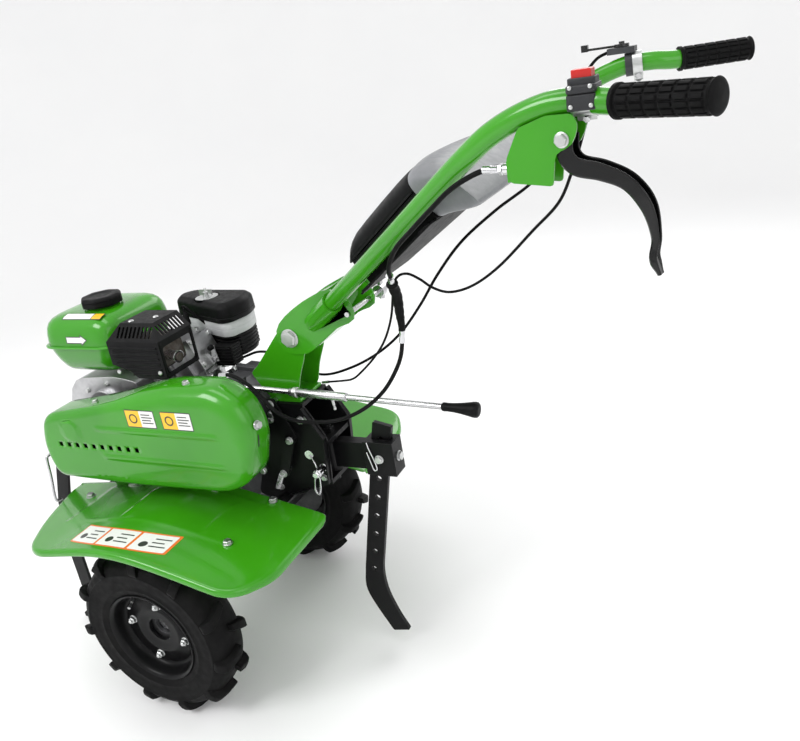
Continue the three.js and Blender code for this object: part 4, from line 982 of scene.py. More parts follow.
def air_cleaner():
    """The band round the filter, the hood with its dished top, the ribs of the base and the stud."""
    outline = anticlockwise(densely(rounded(CLEANER_PLAN, 22, 8), 9))
    band = Piece("air_cleaner_band", "frame", "grey_plastic", "light_plastic")
    levels = [
        (8, 750.4), (4.6, 750.7), (3.9, 751.6), (3.9, 765.6), (4.5, 766.2), (4.5, 767), (3.9, 767.6),
        (3.9, 781.8),
    ]
    levels += [(4.6, 782.8), (8, 783)]
    band.add(*lofted(stacked(outline, levels), caps=False))
    band.made(sharp=40)
    cover = Piece("air_cleaner_hood", "frame", "black_plastic", "black_plastic")
    levels = [
        (2.6, 783.4), (0.8, 783.5), (0, 784.4), (0, 793), (1.2, 794), (1.2, 795.6), (0.4, 796.4), (1.2, 812)
    ]
    levels += [(1.8, 815), (4, 818.5), (10.5, 824), (13, 825.6), (16, 826)]
    cover.add(*lofted(stacked(outline, levels), caps=False))
    dish = [Vector((NUT[0] + 30 * cos(a), NUT[1] + 30 * sin(a))) for a in np.linspace(0, 2 * pi, 49)[:-1]]
    made, faces = sheeted(inset(outline, 16), [dish], steps(-80, 130, 12), steps(20, 150, 12))
    cover.add([at(p.x, p.y, 826) for p in made], faces)
    loops = [
        [at(NUT[0] + (p.x - NUT[0]) * k, NUT[1] + (p.y - NUT[1]) * k, z) for p in dish]
        for k, z in ((1, 826), (0.985, 825), (0.96, 822.8), (0.1, 822.6))
    ]
    cover.add(*lofted(loops, caps=False))
    ribs = Piece("air_cleaner_ribs", "frame", "black_plastic", "black_plastic")
    for z in range(706, 748, 8):
        levels = [(8.2, z), (5.6, z + 0.4), (5.6, z + 2.6), (8.2, z + 3)]
        ribs.add(*lofted(stacked(outline, levels), caps=False))
    ribs.made(sharp=40)
    stud = Piece("air_cleaner_stud", "frame", "zinc", "zinc")
    stud.add(*turned([(3.4, 0), (3.4, 22), (2.8, 23.4), (0, 23.4)], (*NUT, 822.5), (0, 0, 1), 20))
    stud.made(sharp=40)
    cover.made(sharp=44, replaces=["air_cleaner_cover"], outward=at(30, 90, 760))


GUARD = {
    "x0": -66.0, "x1": 72.0, "y0": -150.0, "y1": -44.0, "low": 728.0, "edge": 808.0, "top": 840.0,
    "slope": 26.0,
}


def panel(piece, corners, holes=()):
    """A flat polygon of working points with holes given along its first edge (u) and up from it (v)."""
    corners = [Vector(c) for c in corners]
    origin, u_axis = corners[0], (corners[1] - corners[0]).normalized()
    normal = u_axis.cross(corners[-1] - corners[0]).normalized()
    v_axis = normal.cross(u_axis)
    flat = [Vector(((c - origin).dot(u_axis), (c - origin).dot(v_axis))) for c in corners]
    made, faces = sheeted(anticlockwise(flat), list(holes), (), ())
    piece.add([at(*(origin + u_axis * p.x + v_axis * p.y)) for p in made], faces)


def muffler_guard():
    """A bevelled sheet box with slots in its slopes, a window at the rear and raised louvres."""
    g = GUARD
    x0, x1, y0, y1, low, edge, top, run = (
        g[k] for k in ("x0", "x1", "y0", "y1", "low", "edge", "top", "slope")
    )
    tx0, tx1, ty0 = x0 + run, x1 - run, y0 + run
    piece = Piece("muffler_guard_shell", "frame", "black_plastic", "black_plastic")
    near = [
        (x0, y0, edge), (x1, y0, edge), (x1, y0, low), (x0 + 62, y0, low), (x0 + 44, y0, low + 16),
        (x0, y0, low + 30),
    ]
    panel(piece, near[::-1])
    rise = hypot(run, top - edge)
    slots = [slot_outline(26 + k * 10.6, 31.6 + k * 10.6, 8, rise - 8, 5) for k in range(9)]
    panel(piece, [(x0, y0, edge), (x1, y0, edge), (tx1, ty0, top), (tx0, ty0, top)], slots)
    depth = y1 - y0
    slots = [slot_outline(23 + k * 9.6, 28.4 + k * 9.6, 8, rise - 8, 5) for k in range(8)]
    panel(piece, [(x1, y0, edge), (x1, y1, edge), (tx1, y1, top), (tx1, ty0, top)], slots)
    panel(piece, [(x0, y1, edge), (x0, y0, edge), (tx0, ty0, top), (tx0, y1, top)])
    panel(piece, [(tx0, ty0, top), (tx1, ty0, top), (tx1, y1, top), (tx0, y1, top)])
    window = rounded([(9, 10), (depth - 7, 10), (depth - 7, 66), (9, 66)], 9, 6)
    panel(piece, [(x1, y0, low), (x1, y1, low), (x1, y1, edge), (x1, y0, edge)], [window])
    panel(piece, [(x0, y1, low + 30), (x0, y0, low + 30), (x0, y0, edge), (x0, y1, edge)])
    obj = piece.made(sharp=20, replaces=["muffler_guard"], outward=at(0, -90, 770))
    add_modifier(obj, "SOLIDIFY", thickness=0.0028, offset=-1, use_even_offset=True)
    soften(obj, 1.6, 3, 22)
    ribs = Piece("muffler_guard_ribs", "frame", "black_plastic", "black_plastic")
    for k in range(6):
        z = edge - 13 - 11.5 * k
        left = x0 + 9 + max(0, (low + 36 - z)) * 1.6
        section = [
            Vector((-0.4, z - 3.4)), Vector((2.3, z - 1.6)), Vector((2.3, z + 1.6)), Vector((-0.4, z + 3.4))
        ]
        ribs.add(*prism(section, lambda u, v, w: at(w, y0 - u, v), left, x1 - 8))
        if z > low + 40:
            ribs.add(*prism(section, lambda u, v, w: at(x0 - u, w, v), y0 + 8, y1 - 6))
    for y in (y0 + 5.5, y1 - 4.5):
        ribs.add(*block(x1 - 0.4, x1 + 1.6, y - 2.4, y + 2.4, low + 6, edge - 5))
    ribs.made(bevel=0.9, segments=3, sharp=25)


TRAY_FOOT, TRAY_SLOPE = (500, 905), radians(36.3)


def tray_point(u, y, n):
    """A point of the tool tray's own frame: u up the slope, n out of it."""
    c, s = cos(TRAY_SLOPE), sin(TRAY_SLOPE)
    return at(TRAY_FOOT[0] + u * c - n * s, y, TRAY_FOOT[1] + u * s + n * c)


def tray_half(u):
    """Half the tray's width at u."""
    return 96 + 0.392 * u


LID_PROFILE = [
    (21, 27), (24, 34), (30, 44), (38, 52), (50, 58.5), (66, 62.5), (100, 64.5), (150, 66), (200, 66.6)
]
LID_PROFILE += [(226, 66.2), (240, 65.2), (244, 63.8), (245.4, 61), (245.8, 54), (245.8, 27)]
# Stations of the panel behind the lid: distance up the slope, top and underside above the tray's plane.
PANEL_STATIONS = [
    (247, 54, -26), (247.4, 61, -29), (249, 64, -30), (262, 63.6, -34), (276, 58, -40), (290, 47, -47),
    (302, 32, -52), (312, 12, -56), (320, -10, -58), (326, -32, -57), (328.4, -46, -52),
]
RIM_LEVEL = 26.4
PANEL_FLANK = [(1.5, 0.55), (4, 0.25), (10, 0.06), (18, 0.0)]  # inward, share of the height
TRAY_UNDERSIDE, LOUVRE_LEVEL = -23, -30.0
CROWN_ROWS = 40
CROWN_SIDE, CROWN_TOP = 0.72, 0.62  # below 1, a squarer crown


def crowned(u, half, high, base):
    """A row of points across the tray that rises from base at both sides to high in the middle."""
    row = []
    for k in range(CROWN_ROWS + 1):
        angle = (-1 + 2 * k / CROWN_ROWS) * pi / 2
        y = half * copysign(abs(sin(angle)) ** CROWN_SIDE, angle)
        lift = max(0.0, cos(angle)) ** CROWN_TOP
        row.append(tray_point(u, y, base + (high - base) * lift))
    return row


def control_panel():
    """The panel behind the lid: it carries the lid's crown on and falls away to the rear."""
    piece = Piece("control_panel_shell", "handlebar", "grey_plastic", "grey_plastic")
    loops = []
    for u, high, low in PANEL_STATIONS:
        half = tray_half(u) - 20.5
        base = min(RIM_LEVEL, high - 8, low + 58)
        loop = crowned(u, half, high, base)
        for inward, up in PANEL_FLANK:
            loop.append(tray_point(u, half - inward, low + (base - low) * up))
        for inward, up in PANEL_FLANK[::-1]:
            loop.append(tray_point(u, inward - half, low + (base - low) * up))
        loops.append(loop)
    piece.add(*lofted(loops))
    piece.made(sharp=50, replaces=["control_panel"])


def tray_louvres():
    """Raised bars and end rails under the tool tray."""
    piece = Piece("tool_tray_louvres", "handlebar", "black_plastic", "black_rubber")
    for u in range(44, 238, 12):
        half = tray_half(u) - 42
        piece.add(*block(u - 2.4, u + 2.4, -half, half, LOUVRE_LEVEL, TRAY_UNDERSIDE, tray_point))
    for side in (-1, 1):
        plan = [
            (u, side * (tray_half(u) - inward)) for u, inward in ((32, 40), (240, 40), (240, 33), (32, 33))
        ]
        piece.add(*prism(plan, tray_point, LOUVRE_LEVEL, TRAY_UNDERSIDE))
    piece.made(bevel=0.8, segments=2, sharp=30)


def tool_lid():
    """A crowned lid: one smooth shell that is highest along the middle and rolls down to its rim."""
    piece = Piece("tool_box_lid_shell", "tool_box_lid", "black_plastic", "black_plastic")
    loops = [crowned(u, tray_half(u) - 20, high, RIM_LEVEL) for u, high in LID_PROFILE]
    piece.add(*lofted(loops, closed=False, caps=False))
    piece.made(sharp=60, replaces=["tool_box_lid"], outward=tray_point(140, 0, -60), thicken=2.6)
    rim = Piece("tool_box_lid_rim", "tool_box_lid", "black_plastic", "black_plastic")
    plan = []
    for u, sign in ((20.5, -1), (246, -1), (246, 1), (20.5, 1)):
        plan.append((u, sign * (tray_half(u) - 20.2)))
    outline = densely(rounded(plan, 12, 6), 10)
    loops = []
    for out, n in ((0, 26), (1.2, 26.2), (1.6, 28), (1.2, 29.8), (0, 30), (-2.4, 29.8), (-2.4, 26)):
        loops.append([tray_point(p.x, p.y, n) for p in inset(outline, -out)])
    rim.add(*lofted(loops + loops[:1], caps=False))
    rim.made(sharp=40)


belt_cover()
for side in (-1, 1):
    fender(side)
fuel_tank()
fuel_cap()
air_cleaner()
muffler_guard()
tool_lid()
control_panel()
tray_louvres()


# ---------------------------------------------------------------- handlebar
LEFT_TUBE = [
    (370, -34, 809), (513, -104.5, 914.2), (656, -175.2, 1019.4), (800, -246, 1125), (862, -268, 1163),
    (925, -281, 1184), (975, -288, 1186), (1016, -304, 1182), (1126, -360, 1181),
]
GRIP_START, GRIP_END = (1016, -304, 1182), (1126, -360, 1181)
GRIP_LENGTH, GRIP_ROWS, GRIP_BLOCKS = 131.0, 6, 14
SHIFT_FROM, SHIFT_TO = Vector((158, -62, 676.5)), Vector((634, -62, 652))


def mirrored(point, side):
    """A point given for the left side, for side -1 left or 1 right."""
    return Vector((point[0], point[1] * -side, point[2]))


def handle_tube(side):
    """One bent tube of the handlebar."""
    word = word_of(side)
    line = smooth_line([mirrored(p, side) for p in LEFT_TUBE], 14, 7)
    piece = Piece(f"handlebar_{word}_tube", "handlebar", "green_paint", "green_paint")
    piece.add(*swept(line, TUBE_RADIUS, 36))
    piece.made(sharp=50, replaces=[f"handlebar_{word}"])


def grip_radius(s, angle):
    """The grip's outer radius at s along it: a flange, rows of raised blocks and a rounded end."""
    end = GRIP_LENGTH - s
    if end < 5:
        return 20.5 * sqrt(max(0, 1 - (1 - end / 5) ** 2)) ** 0.7 + 0.01
    flange = 3.6 * hump(s, -2, 4.5, 1.6) + 2.2 * hump(end, 0, 6, 1.5)
    pitch = (GRIP_LENGTH - 18) / GRIP_ROWS
    along = (s - 8) % pitch
    row = hump(along, 2.2, pitch - 2.2, 1.1) if 8 < s < GRIP_LENGTH - 10 else 0
    around = (angle / (2 * pi) * GRIP_BLOCKS) % 1
    block_share = hump(around, 0.2, 0.8, 0.1)
    return 17.3 + max(flange, 2.5 * row * block_share)


def grip(side):
    """The moulded grip, with raised blocks between two flanges."""
    word = word_of(side)
    start, end = mirrored(GRIP_START, side), mirrored(GRIP_END, side)
    place = frame_of(start, end - start)
    loops = []
    count, sides = 150, 140
    for i in range(count + 1):
        s = GRIP_LENGTH * i / count
        angles = circle(sides)
        loops.append([place(cos(a) * grip_radius(s, a), sin(a) * grip_radius(s, a), s) for a in angles])
    piece = Piece(f"grip_{word}_moulding", "handlebar", "black_rubber", "black_rubber")
    piece.add(*lofted(loops))
    piece.made(sharp=60, replaces=[f"grip_{word}"])


def tube_clamp(name, centre, along, radius, width, tab, screw_side):
    """A steel band round a tube with two ears and their screw."""
    piece = Piece(name, "handlebar", "zinc", "zinc", "steel")
    half = width / 2
    profile = [(radius, -half), (radius + 1.6, -half + 0.3), (radius + 1.6, half - 0.3), (radius, half)]
    piece.add(*turned(profile, centre, along, 48))
    axis = Vector(along).normalized()
    down = Vector(screw_side)
    down = (down - axis * down.dot(axis)).normalized()
    sideways = axis.cross(down)

    def ear(u, v, w):
        return at(*(Vector(centre) + sideways * u + down * v + axis * w))

    for shift in (-4.2, 2.4):
        piece.add(*block(shift, shift + 1.8, radius - 1, radius + tab, -half + 1, half - 1, ear))
    spot = Vector(centre) + down * (radius + tab * 0.55)
    bolt(piece, spot + sideways * 4.4, sideways, 6, 1)
    bolt(piece, spot - sideways * 4.4, -sideways, 6, 1, washer=False)
    piece.made(sharp=30)


def shift_parts():
    """The gear lever's knob, and the sleeve with its collar and grease nipple."""
    axis = (SHIFT_TO - SHIFT_FROM).normalized()
    knob = Piece("shift_knob_moulding", "gear_shift", "black_plastic", "black_plastic")
    profile = [
        (6.4, -5), (8, -4.4), (8.6, -1), (8.2, 6), (8.8, 18), (10.4, 32), (12.6, 45), (14.6, 55), (15, 60)
    ]
    profile += [(14.2, 64.2), (11.5, 66.6), (7, 67.6), (3, 67.4)]
    knob.add(*turned(profile, SHIFT_TO, axis, 56))
    knob.made(sharp=50, replaces=["shift_knob"])
    sleeve = Piece("shift_sleeve", "gear_shift", "steel", "steel", "zinc")
    start = SHIFT_FROM + axis * 140
    tube = [(6.1, 0), (8.4, 0), (9, 1), (9, 128), (8.4, 130), (6.1, 131)]
    sleeve.add(*turned(tube, start, axis, 40))
    sleeve.add(*turned([(9.1, 8), (10.6, 9), (10.6, 17), (9.1, 18)], start, axis, 40), 1)
    spot = start + axis * 96 + Vector((0, 0, -8))
    nipple = [(3, 0), (3, 12), (2, 13), (2, 17), (3, 17.5), (3, 22), (2, 23)]
    sleeve.add(*turned(nipple, spot, (0.1, 0, -1), 20), 1)
    sleeve.made(sharp=35)


LEVER_PIVOT = (950, -285, 1144)
HEADING = atan2(-20, 113)
LEVER_SPINE = [
    (0, 5), (0, -18), (13, -34), (44, -42), (76, -57), (98, -86), (106, -124), (103, -150), (110, -172)
]


def lever_point(x, y, z):
    """A working point in the clutch lever's own frame."""
    c, s = cos(HEADING), sin(HEADING)
    return Vector((LEVER_PIVOT[0] + x * c - y * s, LEVER_PIVOT[1] + x * s + y * c, LEVER_PIVOT[2] + z))


def along_table(t, table):
    """A value read smoothly from (share, value) pairs."""
    for (t0, v0), (t1, v1) in zip(table, table[1:]):
        if t <= t1:
            k = (t - t0) / (t1 - t0)
            return v0 + (v1 - v0) * k * k * (3 - 2 * k)
    return table[-1][1]


def clutch_parts():
    """The pressed channel lever, its pivot bolt and the cable's adjuster."""
    line = smooth_line([(x, 0, z) for x, z in LEVER_SPINE], 12, 4)
    half = [(0, 12.5), (0.2, 12), (0.55, 9.5), (0.84, 5.4), (0.92, 5.6), (1, 3.4)]
    wide = [(0, 11.6), (0.2, 11.8), (0.55, 10.5), (0.84, 6.4), (0.93, 8.6), (1, 6)]
    deep = [(0, 18), (0.5, 15), (0.8, 6), (0.9, 2.4), (1, 1)]
    loops = []
    for i, p in enumerate(line):
        t = i / (len(line) - 1)
        ahead = (line[min(i + 1, len(line) - 1)] - line[max(i - 1, 0)]).normalized()
        out = Vector((-ahead.z, 0, ahead.x))
        h, w, d = along_table(t, half), along_table(t, wide), along_table(t, deep)
        wall = min(2.6, w * 0.35)
        section = [
            (-h, -w + 3), (-h, w - 3), (-h + 3, w), (h - 1.6, w), (h, w - wall / 2), (h - 1, w - wall)
        ]
        section += [(h - d, w - wall - 1), (h - d, -w + wall + 1)]
        section += [(h - 1, -w + wall), (h, -w + wall / 2), (h - 1.6, -w), (-h + 3, -w)]
        loop = []
        for a, b in section:
            q = p + out * a
            loop.append(at(*lever_point(q.x, b, q.z)))
        loops.append(loop)
    lever = Piece("clutch_lever_channel", "clutch_lever", "black_paint", "gloss_black")
    lever.add(*lofted(loops))
    lever.made(bevel=0.9, segments=3, sharp=28, replaces=["clutch_lever"])
    pivot = Piece("clutch_pivot_bolt", "handlebar", "zinc", "zinc", "chrome")
    sideways = lever_point(0, 1, 0) - lever_point(0, 0, 0)
    bolt(pivot, lever_point(0, -16.1, 0), -sideways, 9, 0)
    bolt(pivot, lever_point(0, 16.1, 0), sideways, 9, 0)
    pivot.add(*turned([(4.6, -16), (4.6, 16)], lever_point(0, 0, 0), sideways, 24))
    forward = lever_point(1, 0, 0) - lever_point(0, 0, 0)
    start = lever_point(-122, 0, -34)
    screw_profile = [(3.9, 0), (5.4, 0.6), (5.4, 12), (4.4, 13)]
    for k in range(12):
        screw_profile += [(4.9, 13.6 + 1.4 * k), (4.3, 14.3 + 1.4 * k)]
    screw_profile += [(6.6, 31), (7.2, 32), (7.2, 46), (6.4, 47), (4.6, 47.4), (4.6, 56)]
    pivot.add(*turned(screw_profile, start, forward, 32), 1)
    place = frame_of(start, forward)
    for low, high, radius in ((25, 30.5, 8.0), (47.5, 53, 8.4)):
        rings = [(radius * 0.88, low), (radius, low + 0.8), (radius, high - 0.8), (radius * 0.88, high)]
        pivot.add(*hexagonal(place, rings, 0.2), 1)
    pivot.made(sharp=30)


# ---------------------------------------------------------------- cables
CABLES = {
    "clutch_cable": (
        3.8,
        [
            (868, -264, 1113), (826, -262, 1108), (780, -256, 1088), (735, -238, 1056), (690, -218, 1022),
            (650, -198, 990), (622, -174, 955), (608, -146, 922), (604, -126, 890), (600, -118, 855),
            (596, -112, 822), (584, -106, 775), (562, -102, 735), (530, -100, 695), (486, -102, 660),
            (436, -108, 638), (390, -118, 634), (350, -136, 644), (320, -150, 668), (300, -158, 702),
            (272, -160, 732), (240, -158, 746), (212, -156, 744),
        ],
    ),
    "throttle_cable": (
        2.8,
        [
            (896, 284, 1210), (878, 272, 1202), (858, 244, 1178), (830, 230, 1152), (812, 216, 1114),
            (806, 190, 1056), (776, 150, 1014), (716, 104, 976), (656, 70, 930), (604, 60, 872),
            (556, 60, 808),
            (502, 62, 748), (440, 64, 702), (370, 66, 668), (300, 68, 650), (236, 66, 666), (190, 63, 697),
            (150, 60, 704), (104, 60, 690), (60, 61, 678),
        ],
    ),
    "stop_wire": (
        2.2,
        [
            (976, -262, 1178), (962, -254, 1140), (944, -246, 1096), (918, -226, 1052), (870, -196, 1008),
            (806, -170, 950),
            (752, -150, 914), (706, -136, 899), (674, -130, 905), (652, -129, 920), (630, -129, 930),
            (608, -125, 922),
            (592, -114, 894), (572, -98, 842), (540, -76, 790), (498, -50, 744), (448, -26, 700),
            (404, 12, 668),
            (360, 44, 648), (300, 58, 636),
        ],
    ),
}


def bent(obj):
    """obj's transform is baked into its mesh."""
    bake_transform(obj)


def wrapped(name, line, first, last, radius, surface, slot):
    """A sleeve on a cable between two shares of its length; radius is a function of the share."""
    low, high = int(first * (len(line) - 1)), int(last * (len(line) - 1))
    piece = Piece(name, None, slot, surface)
    piece.add(*swept(line[low : high + 1], radius, 28))
    obj = piece.made(sharp=40)
    bent(obj)
    return obj


def share_at(line, point):
    """Where along the line the point nearest to point lies, as a share."""
    nearest = min(range(len(line)), key=lambda i: (line[i] - Vector(point)).length)
    return nearest / (len(line) - 1)


def boot_radius(t):
    """A rubber boot: a bead, a long taper with rings and a narrow nose."""
    body = 9.2 - 3.4 * t**1.6
    rings = 0.7 * hump((t * 7) % 1, 0.3, 0.7, 0.2) if 0.12 < t < 0.8 else 0
    bead = 1.4 * hump(t, -0.1, 0.06, 0.03)
    return max(4.2, body + rings + bead) * (0.55 if t < 0.01 else 1)


def ferrule_radius(t):
    """A crimped cable end: a plain barrel with a waist and a lip."""
    return 5.6 - 0.9 * hump(t, 0.35, 0.62, 0.06) + 0.8 * hump(t, -0.1, 0.08, 0.03)


def cable(name, radius, points):
    """A control cable with its end fittings, bent between the frame and the handlebar."""
    line = smooth_line(points, 12, 5)
    piece = Piece(f"{name}_cover", None, "black_rubber", "black_rubber")
    piece.add(*swept(line, radius, 16))
    obj = piece.made(sharp=60, replaces=[name])
    if name == "clutch_cable":
        a, b = share_at(line, (608, -146, 922)), share_at(line, (596, -112, 822))
        wrapped("cable_boot", line, a, b, boot_radius, "black_rubber", "black_rubber")
        c = share_at(line, (612, -156, 934))
        wrapped("cable_ferrule", line, c, a + 0.004, ferrule_radius, "chrome", "steel")
        d = share_at(line, (590, -109, 800))
        wrapped("cable_ferrule_lower", line, b, d, ferrule_radius, "chrome", "steel")
    tip = wrapped(f"{name}_end", line, 0.985, 1.0, lambda t: radius * (1.55 - 0.2 * t), "chrome", "steel")
    bent(obj)


def switch_housing():
    """The switch body with its button well, its screws and cord boot, and the throttle lever's nut."""
    body = Piece("switch_body", "handlebar", "black_plastic", "dark_grey_plastic", "black_plastic")
    plan = rounded([(957, -311), (993, -311), (993, -267), (957, -267)], 7, 6)
    for low, high in ((1176, 1194.4), (1195.6, 1205)):
        body.add(*prism(plan, at, low, high))
    core = rounded([(958.5, -309.5), (991.5, -309.5), (991.5, -268.5), (958.5, -268.5)], 6, 6)
    body.add(*prism(core, at, 1190, 1200), 1)
    outer = rounded([(958.4, -304.5), (991.6, -304.5), (991.6, -273.5), (958.4, -273.5)], 5, 4)
    inner = rounded([(962, -301), (988, -301), (988, -277), (962, -277)], 2.5, 4)
    collar = ((outer, 1203.5), (outer, 1213), (inner, 1213), (inner, 1204.6))
    body.add(*lofted([[at(p.x, p.y, z) for p in loop] for loop, z in collar]))
    body.made(bevel=1.8, segments=3, sharp=35, replaces=["switch_housing"])
    small = Piece("switch_screws", "handlebar", "zinc", "zinc", "black_rubber")
    for x, z in ((963, 1181.5), (987, 1181.5), (963, 1203), (987, 1203)):
        screw(small, (x, -311.2, z), (0, -1, 0), 2.7)
    boot = [(0, 10), (2.6, 10), (3.4, 8), (4.6, 0), (4.8, -2), (0, -2)]
    small.add(*turned(boot, (975, -290, 1176), (0.1, 0.5, -1), 24), 1)
    nut_on_stud(small, (922, 284, 1217), (0, 0, 1), 5)
    small.made(sharp=30)


for side in (-1, 1):
    handle_tube(side)
    grip(side)
switch_housing()
shift_parts()
for name, (radius, points) in CABLES.items():
    cable(name, radius, points)
clutch_parts()
tube_clamp("switch_clamp", (974, -288, 1186), (50, -7, 1), 16.3, 26, 9, (0.1, 0.5, -1))
tube_clamp("throttle_clamp", (948, 284.8, 1185.6), (24, 3.5, 1), 20.3, 17, 9, (0.1, -0.4, -1))


# ---------------------------------------------------------------- labels, plain fields without lettering
def decal(piece, outline, place, kind=0, step=6.0):
    """A printed patch: a flat outline carried onto a surface by place(u, v)."""
    outline = anticlockwise(densely(outline, step))
    xs, ys = [p.x for p in outline], [p.y for p in outline]
    made, faces = sheeted(outline, [], steps(min(xs), max(xs), step), steps(min(ys), max(ys), step), 0.8)
    piece.add([place(p.x, p.y) for p in made], faces, kind)


def rectangle(x0, x1, y0, y1, radius=1.2):
    """A rectangle with rounded corners."""
    return rounded([(x0, y0), (x1, y0), (x1, y1), (x0, y1)], radius, 3)


RING_PARTS = 16


def ring_and_bars(piece, place_at, x0, x1, y0, y1, dark):
    """A generic mark: an empty ring on the left field and plain bars on the right one."""
    middle = (x0 + x1) / 2
    cx, cy = (x0 + middle) / 2, (y0 + y1) / 2
    radius = min(middle - x0, y1 - y0) * 0.3
    for k in range(RING_PARTS):
        a0, a1 = 2 * pi * k / RING_PARTS, 2 * pi * (k + 1) / RING_PARTS
        corners = [(radius, a0), (radius, a1), (radius * 0.72, a1), (radius * 0.72, a0)]
        verts = [place_at(cx + r * cos(a), cy + r * sin(a), 3) for r, a in corners]
        piece.add(verts, [[0, 1, 2, 3]], dark)
    for k in range(4):
        y = y0 + (y1 - y0) * (0.24 + 0.17 * k)
        bar = rectangle(middle + 4, x1 - 4 - 5 * (k % 2), y, y + 2.2, 0.6)
        decal(piece, bar, lambda u, v: place_at(u, v, 3), dark)


def cover_labels():
    """Two labels on the belt cover, each with a yellow and a white field."""
    piece = Piece("cover_labels", "frame", None, "label_white", "label_yellow", "label_black")

    def place_at(x, z, layer):
        return at(x, COVER_FACE_Y - cover_face(x, z) - 0.2 - 0.16 * layer, z)

    for x0, x1 in ((-7, 70), (86, 163)):
        z0, z1 = 647, 687
        decal(piece, rectangle(x0, x1, z0, z1, 3), lambda u, v: place_at(u, v, 0), 2)
        middle = (x0 + x1) / 2
        decal(piece, rectangle(x0 + 2, middle, z0 + 2, z1 - 2), lambda u, v: place_at(u, v, 1), 1)
        decal(piece, rectangle(middle, x1 - 2, z0 + 2, z1 - 2), lambda u, v: place_at(u, v, 1), 0)
        ring_and_bars(piece, place_at, x0 + 2, x1 - 2, z0 + 2, z1 - 2, 2)
    piece.made(sharp=40, weld=False, outward=at(0, 0, 660))


def fender_labels():
    """Three white fields in an orange frame on each fender, each with a spot and three bars."""
    for side in (-1, 1):
        word = word_of(side)
        piece = Piece(f"fender_labels_{word}", "frame", None, "label_white", "label_orange", "label_black")

        def place_at(u, v, layer, side=side):
            y = v + 14 - 0.0011 * u * u
            return at(u, side * y, fender_top(u, y) + 0.4 + 0.16 * layer)

        decal(piece, rectangle(-124, 128, 284, 346, 4), lambda u, v: place_at(u, v, 0), 1, 8)
        for k in range(3):
            x0 = -121 + 83 * k
            decal(piece, rectangle(x0, x0 + 77, 288, 342, 2), lambda u, v: place_at(u, v, 1), 0, 8)
            cx, cy = x0 + 22, 322
            turn = np.linspace(0, 2 * pi, 18)[:-1]
            spot = [Vector((cx + 9 * cos(a), cy + 9 * sin(a))) for a in turn]
            decal(piece, spot, lambda u, v: place_at(u, v, 2), 2, 4)
            for j in range(3):
                bar = rectangle(x0 + 36, x0 + 70 - 8 * (j % 2), 300 + 12 * j, 303.5 + 12 * j, 0.8)
                decal(piece, bar, lambda u, v: place_at(u, v, 2), 2, 8)
        piece.made(sharp=40, weld=False, outward=at(0, side * 300, -900))


def tank_side_y(z):
    """The tank's near side at height z."""
    levels = [(TANK["flange"], 0)] + [(height, shift) for shift, height in TANK_SHOULDER]
    return TANK["y0"] + interpolated(levels, z)


def tank_top_z(y):
    """The tank's upper face at y, over its near shoulder."""
    return interpolated(TANK_SHOULDER, y - TANK["y0"])


def tank_labels():
    """An arrow on the tank's near side and a plate on its shoulder."""
    piece = Piece("tank_labels", "frame", None, "label_white", "label_black", "label_yellow")
    arrow = [(-231, 785), (-188, 785), (-188, 780), (-168, 793), (-188, 806), (-188, 801), (-231, 801)]
    smaller = [(-229, 787), (-186, 787), (-186, 784), (-172, 793), (-186, 802), (-186, 799), (-229, 799)]
    decal(piece, [Vector(p) for p in arrow], lambda u, v: at(u, tank_side_y(v) - 0.3, v), 1, 4)
    decal(piece, [Vector(p) for p in smaller], lambda u, v: at(u, tank_side_y(v) - 0.42, v), 0, 4)
    decal(piece, rectangle(-246, -132, -88, -66, 2), lambda u, v: at(u, v, tank_top_z(v) + 0.3), 1, 4)
    decal(piece, rectangle(-244, -162, -86, -68, 1.5), lambda u, v: at(u, v, tank_top_z(v) + 0.42), 0, 4)
    decal(piece, rectangle(-160, -134, -86, -68, 1.5), lambda u, v: at(u, v, tank_top_z(v) + 0.42), 2, 4)
    piece.made(sharp=40, weld=False, outward=at(-200, 0, 700))


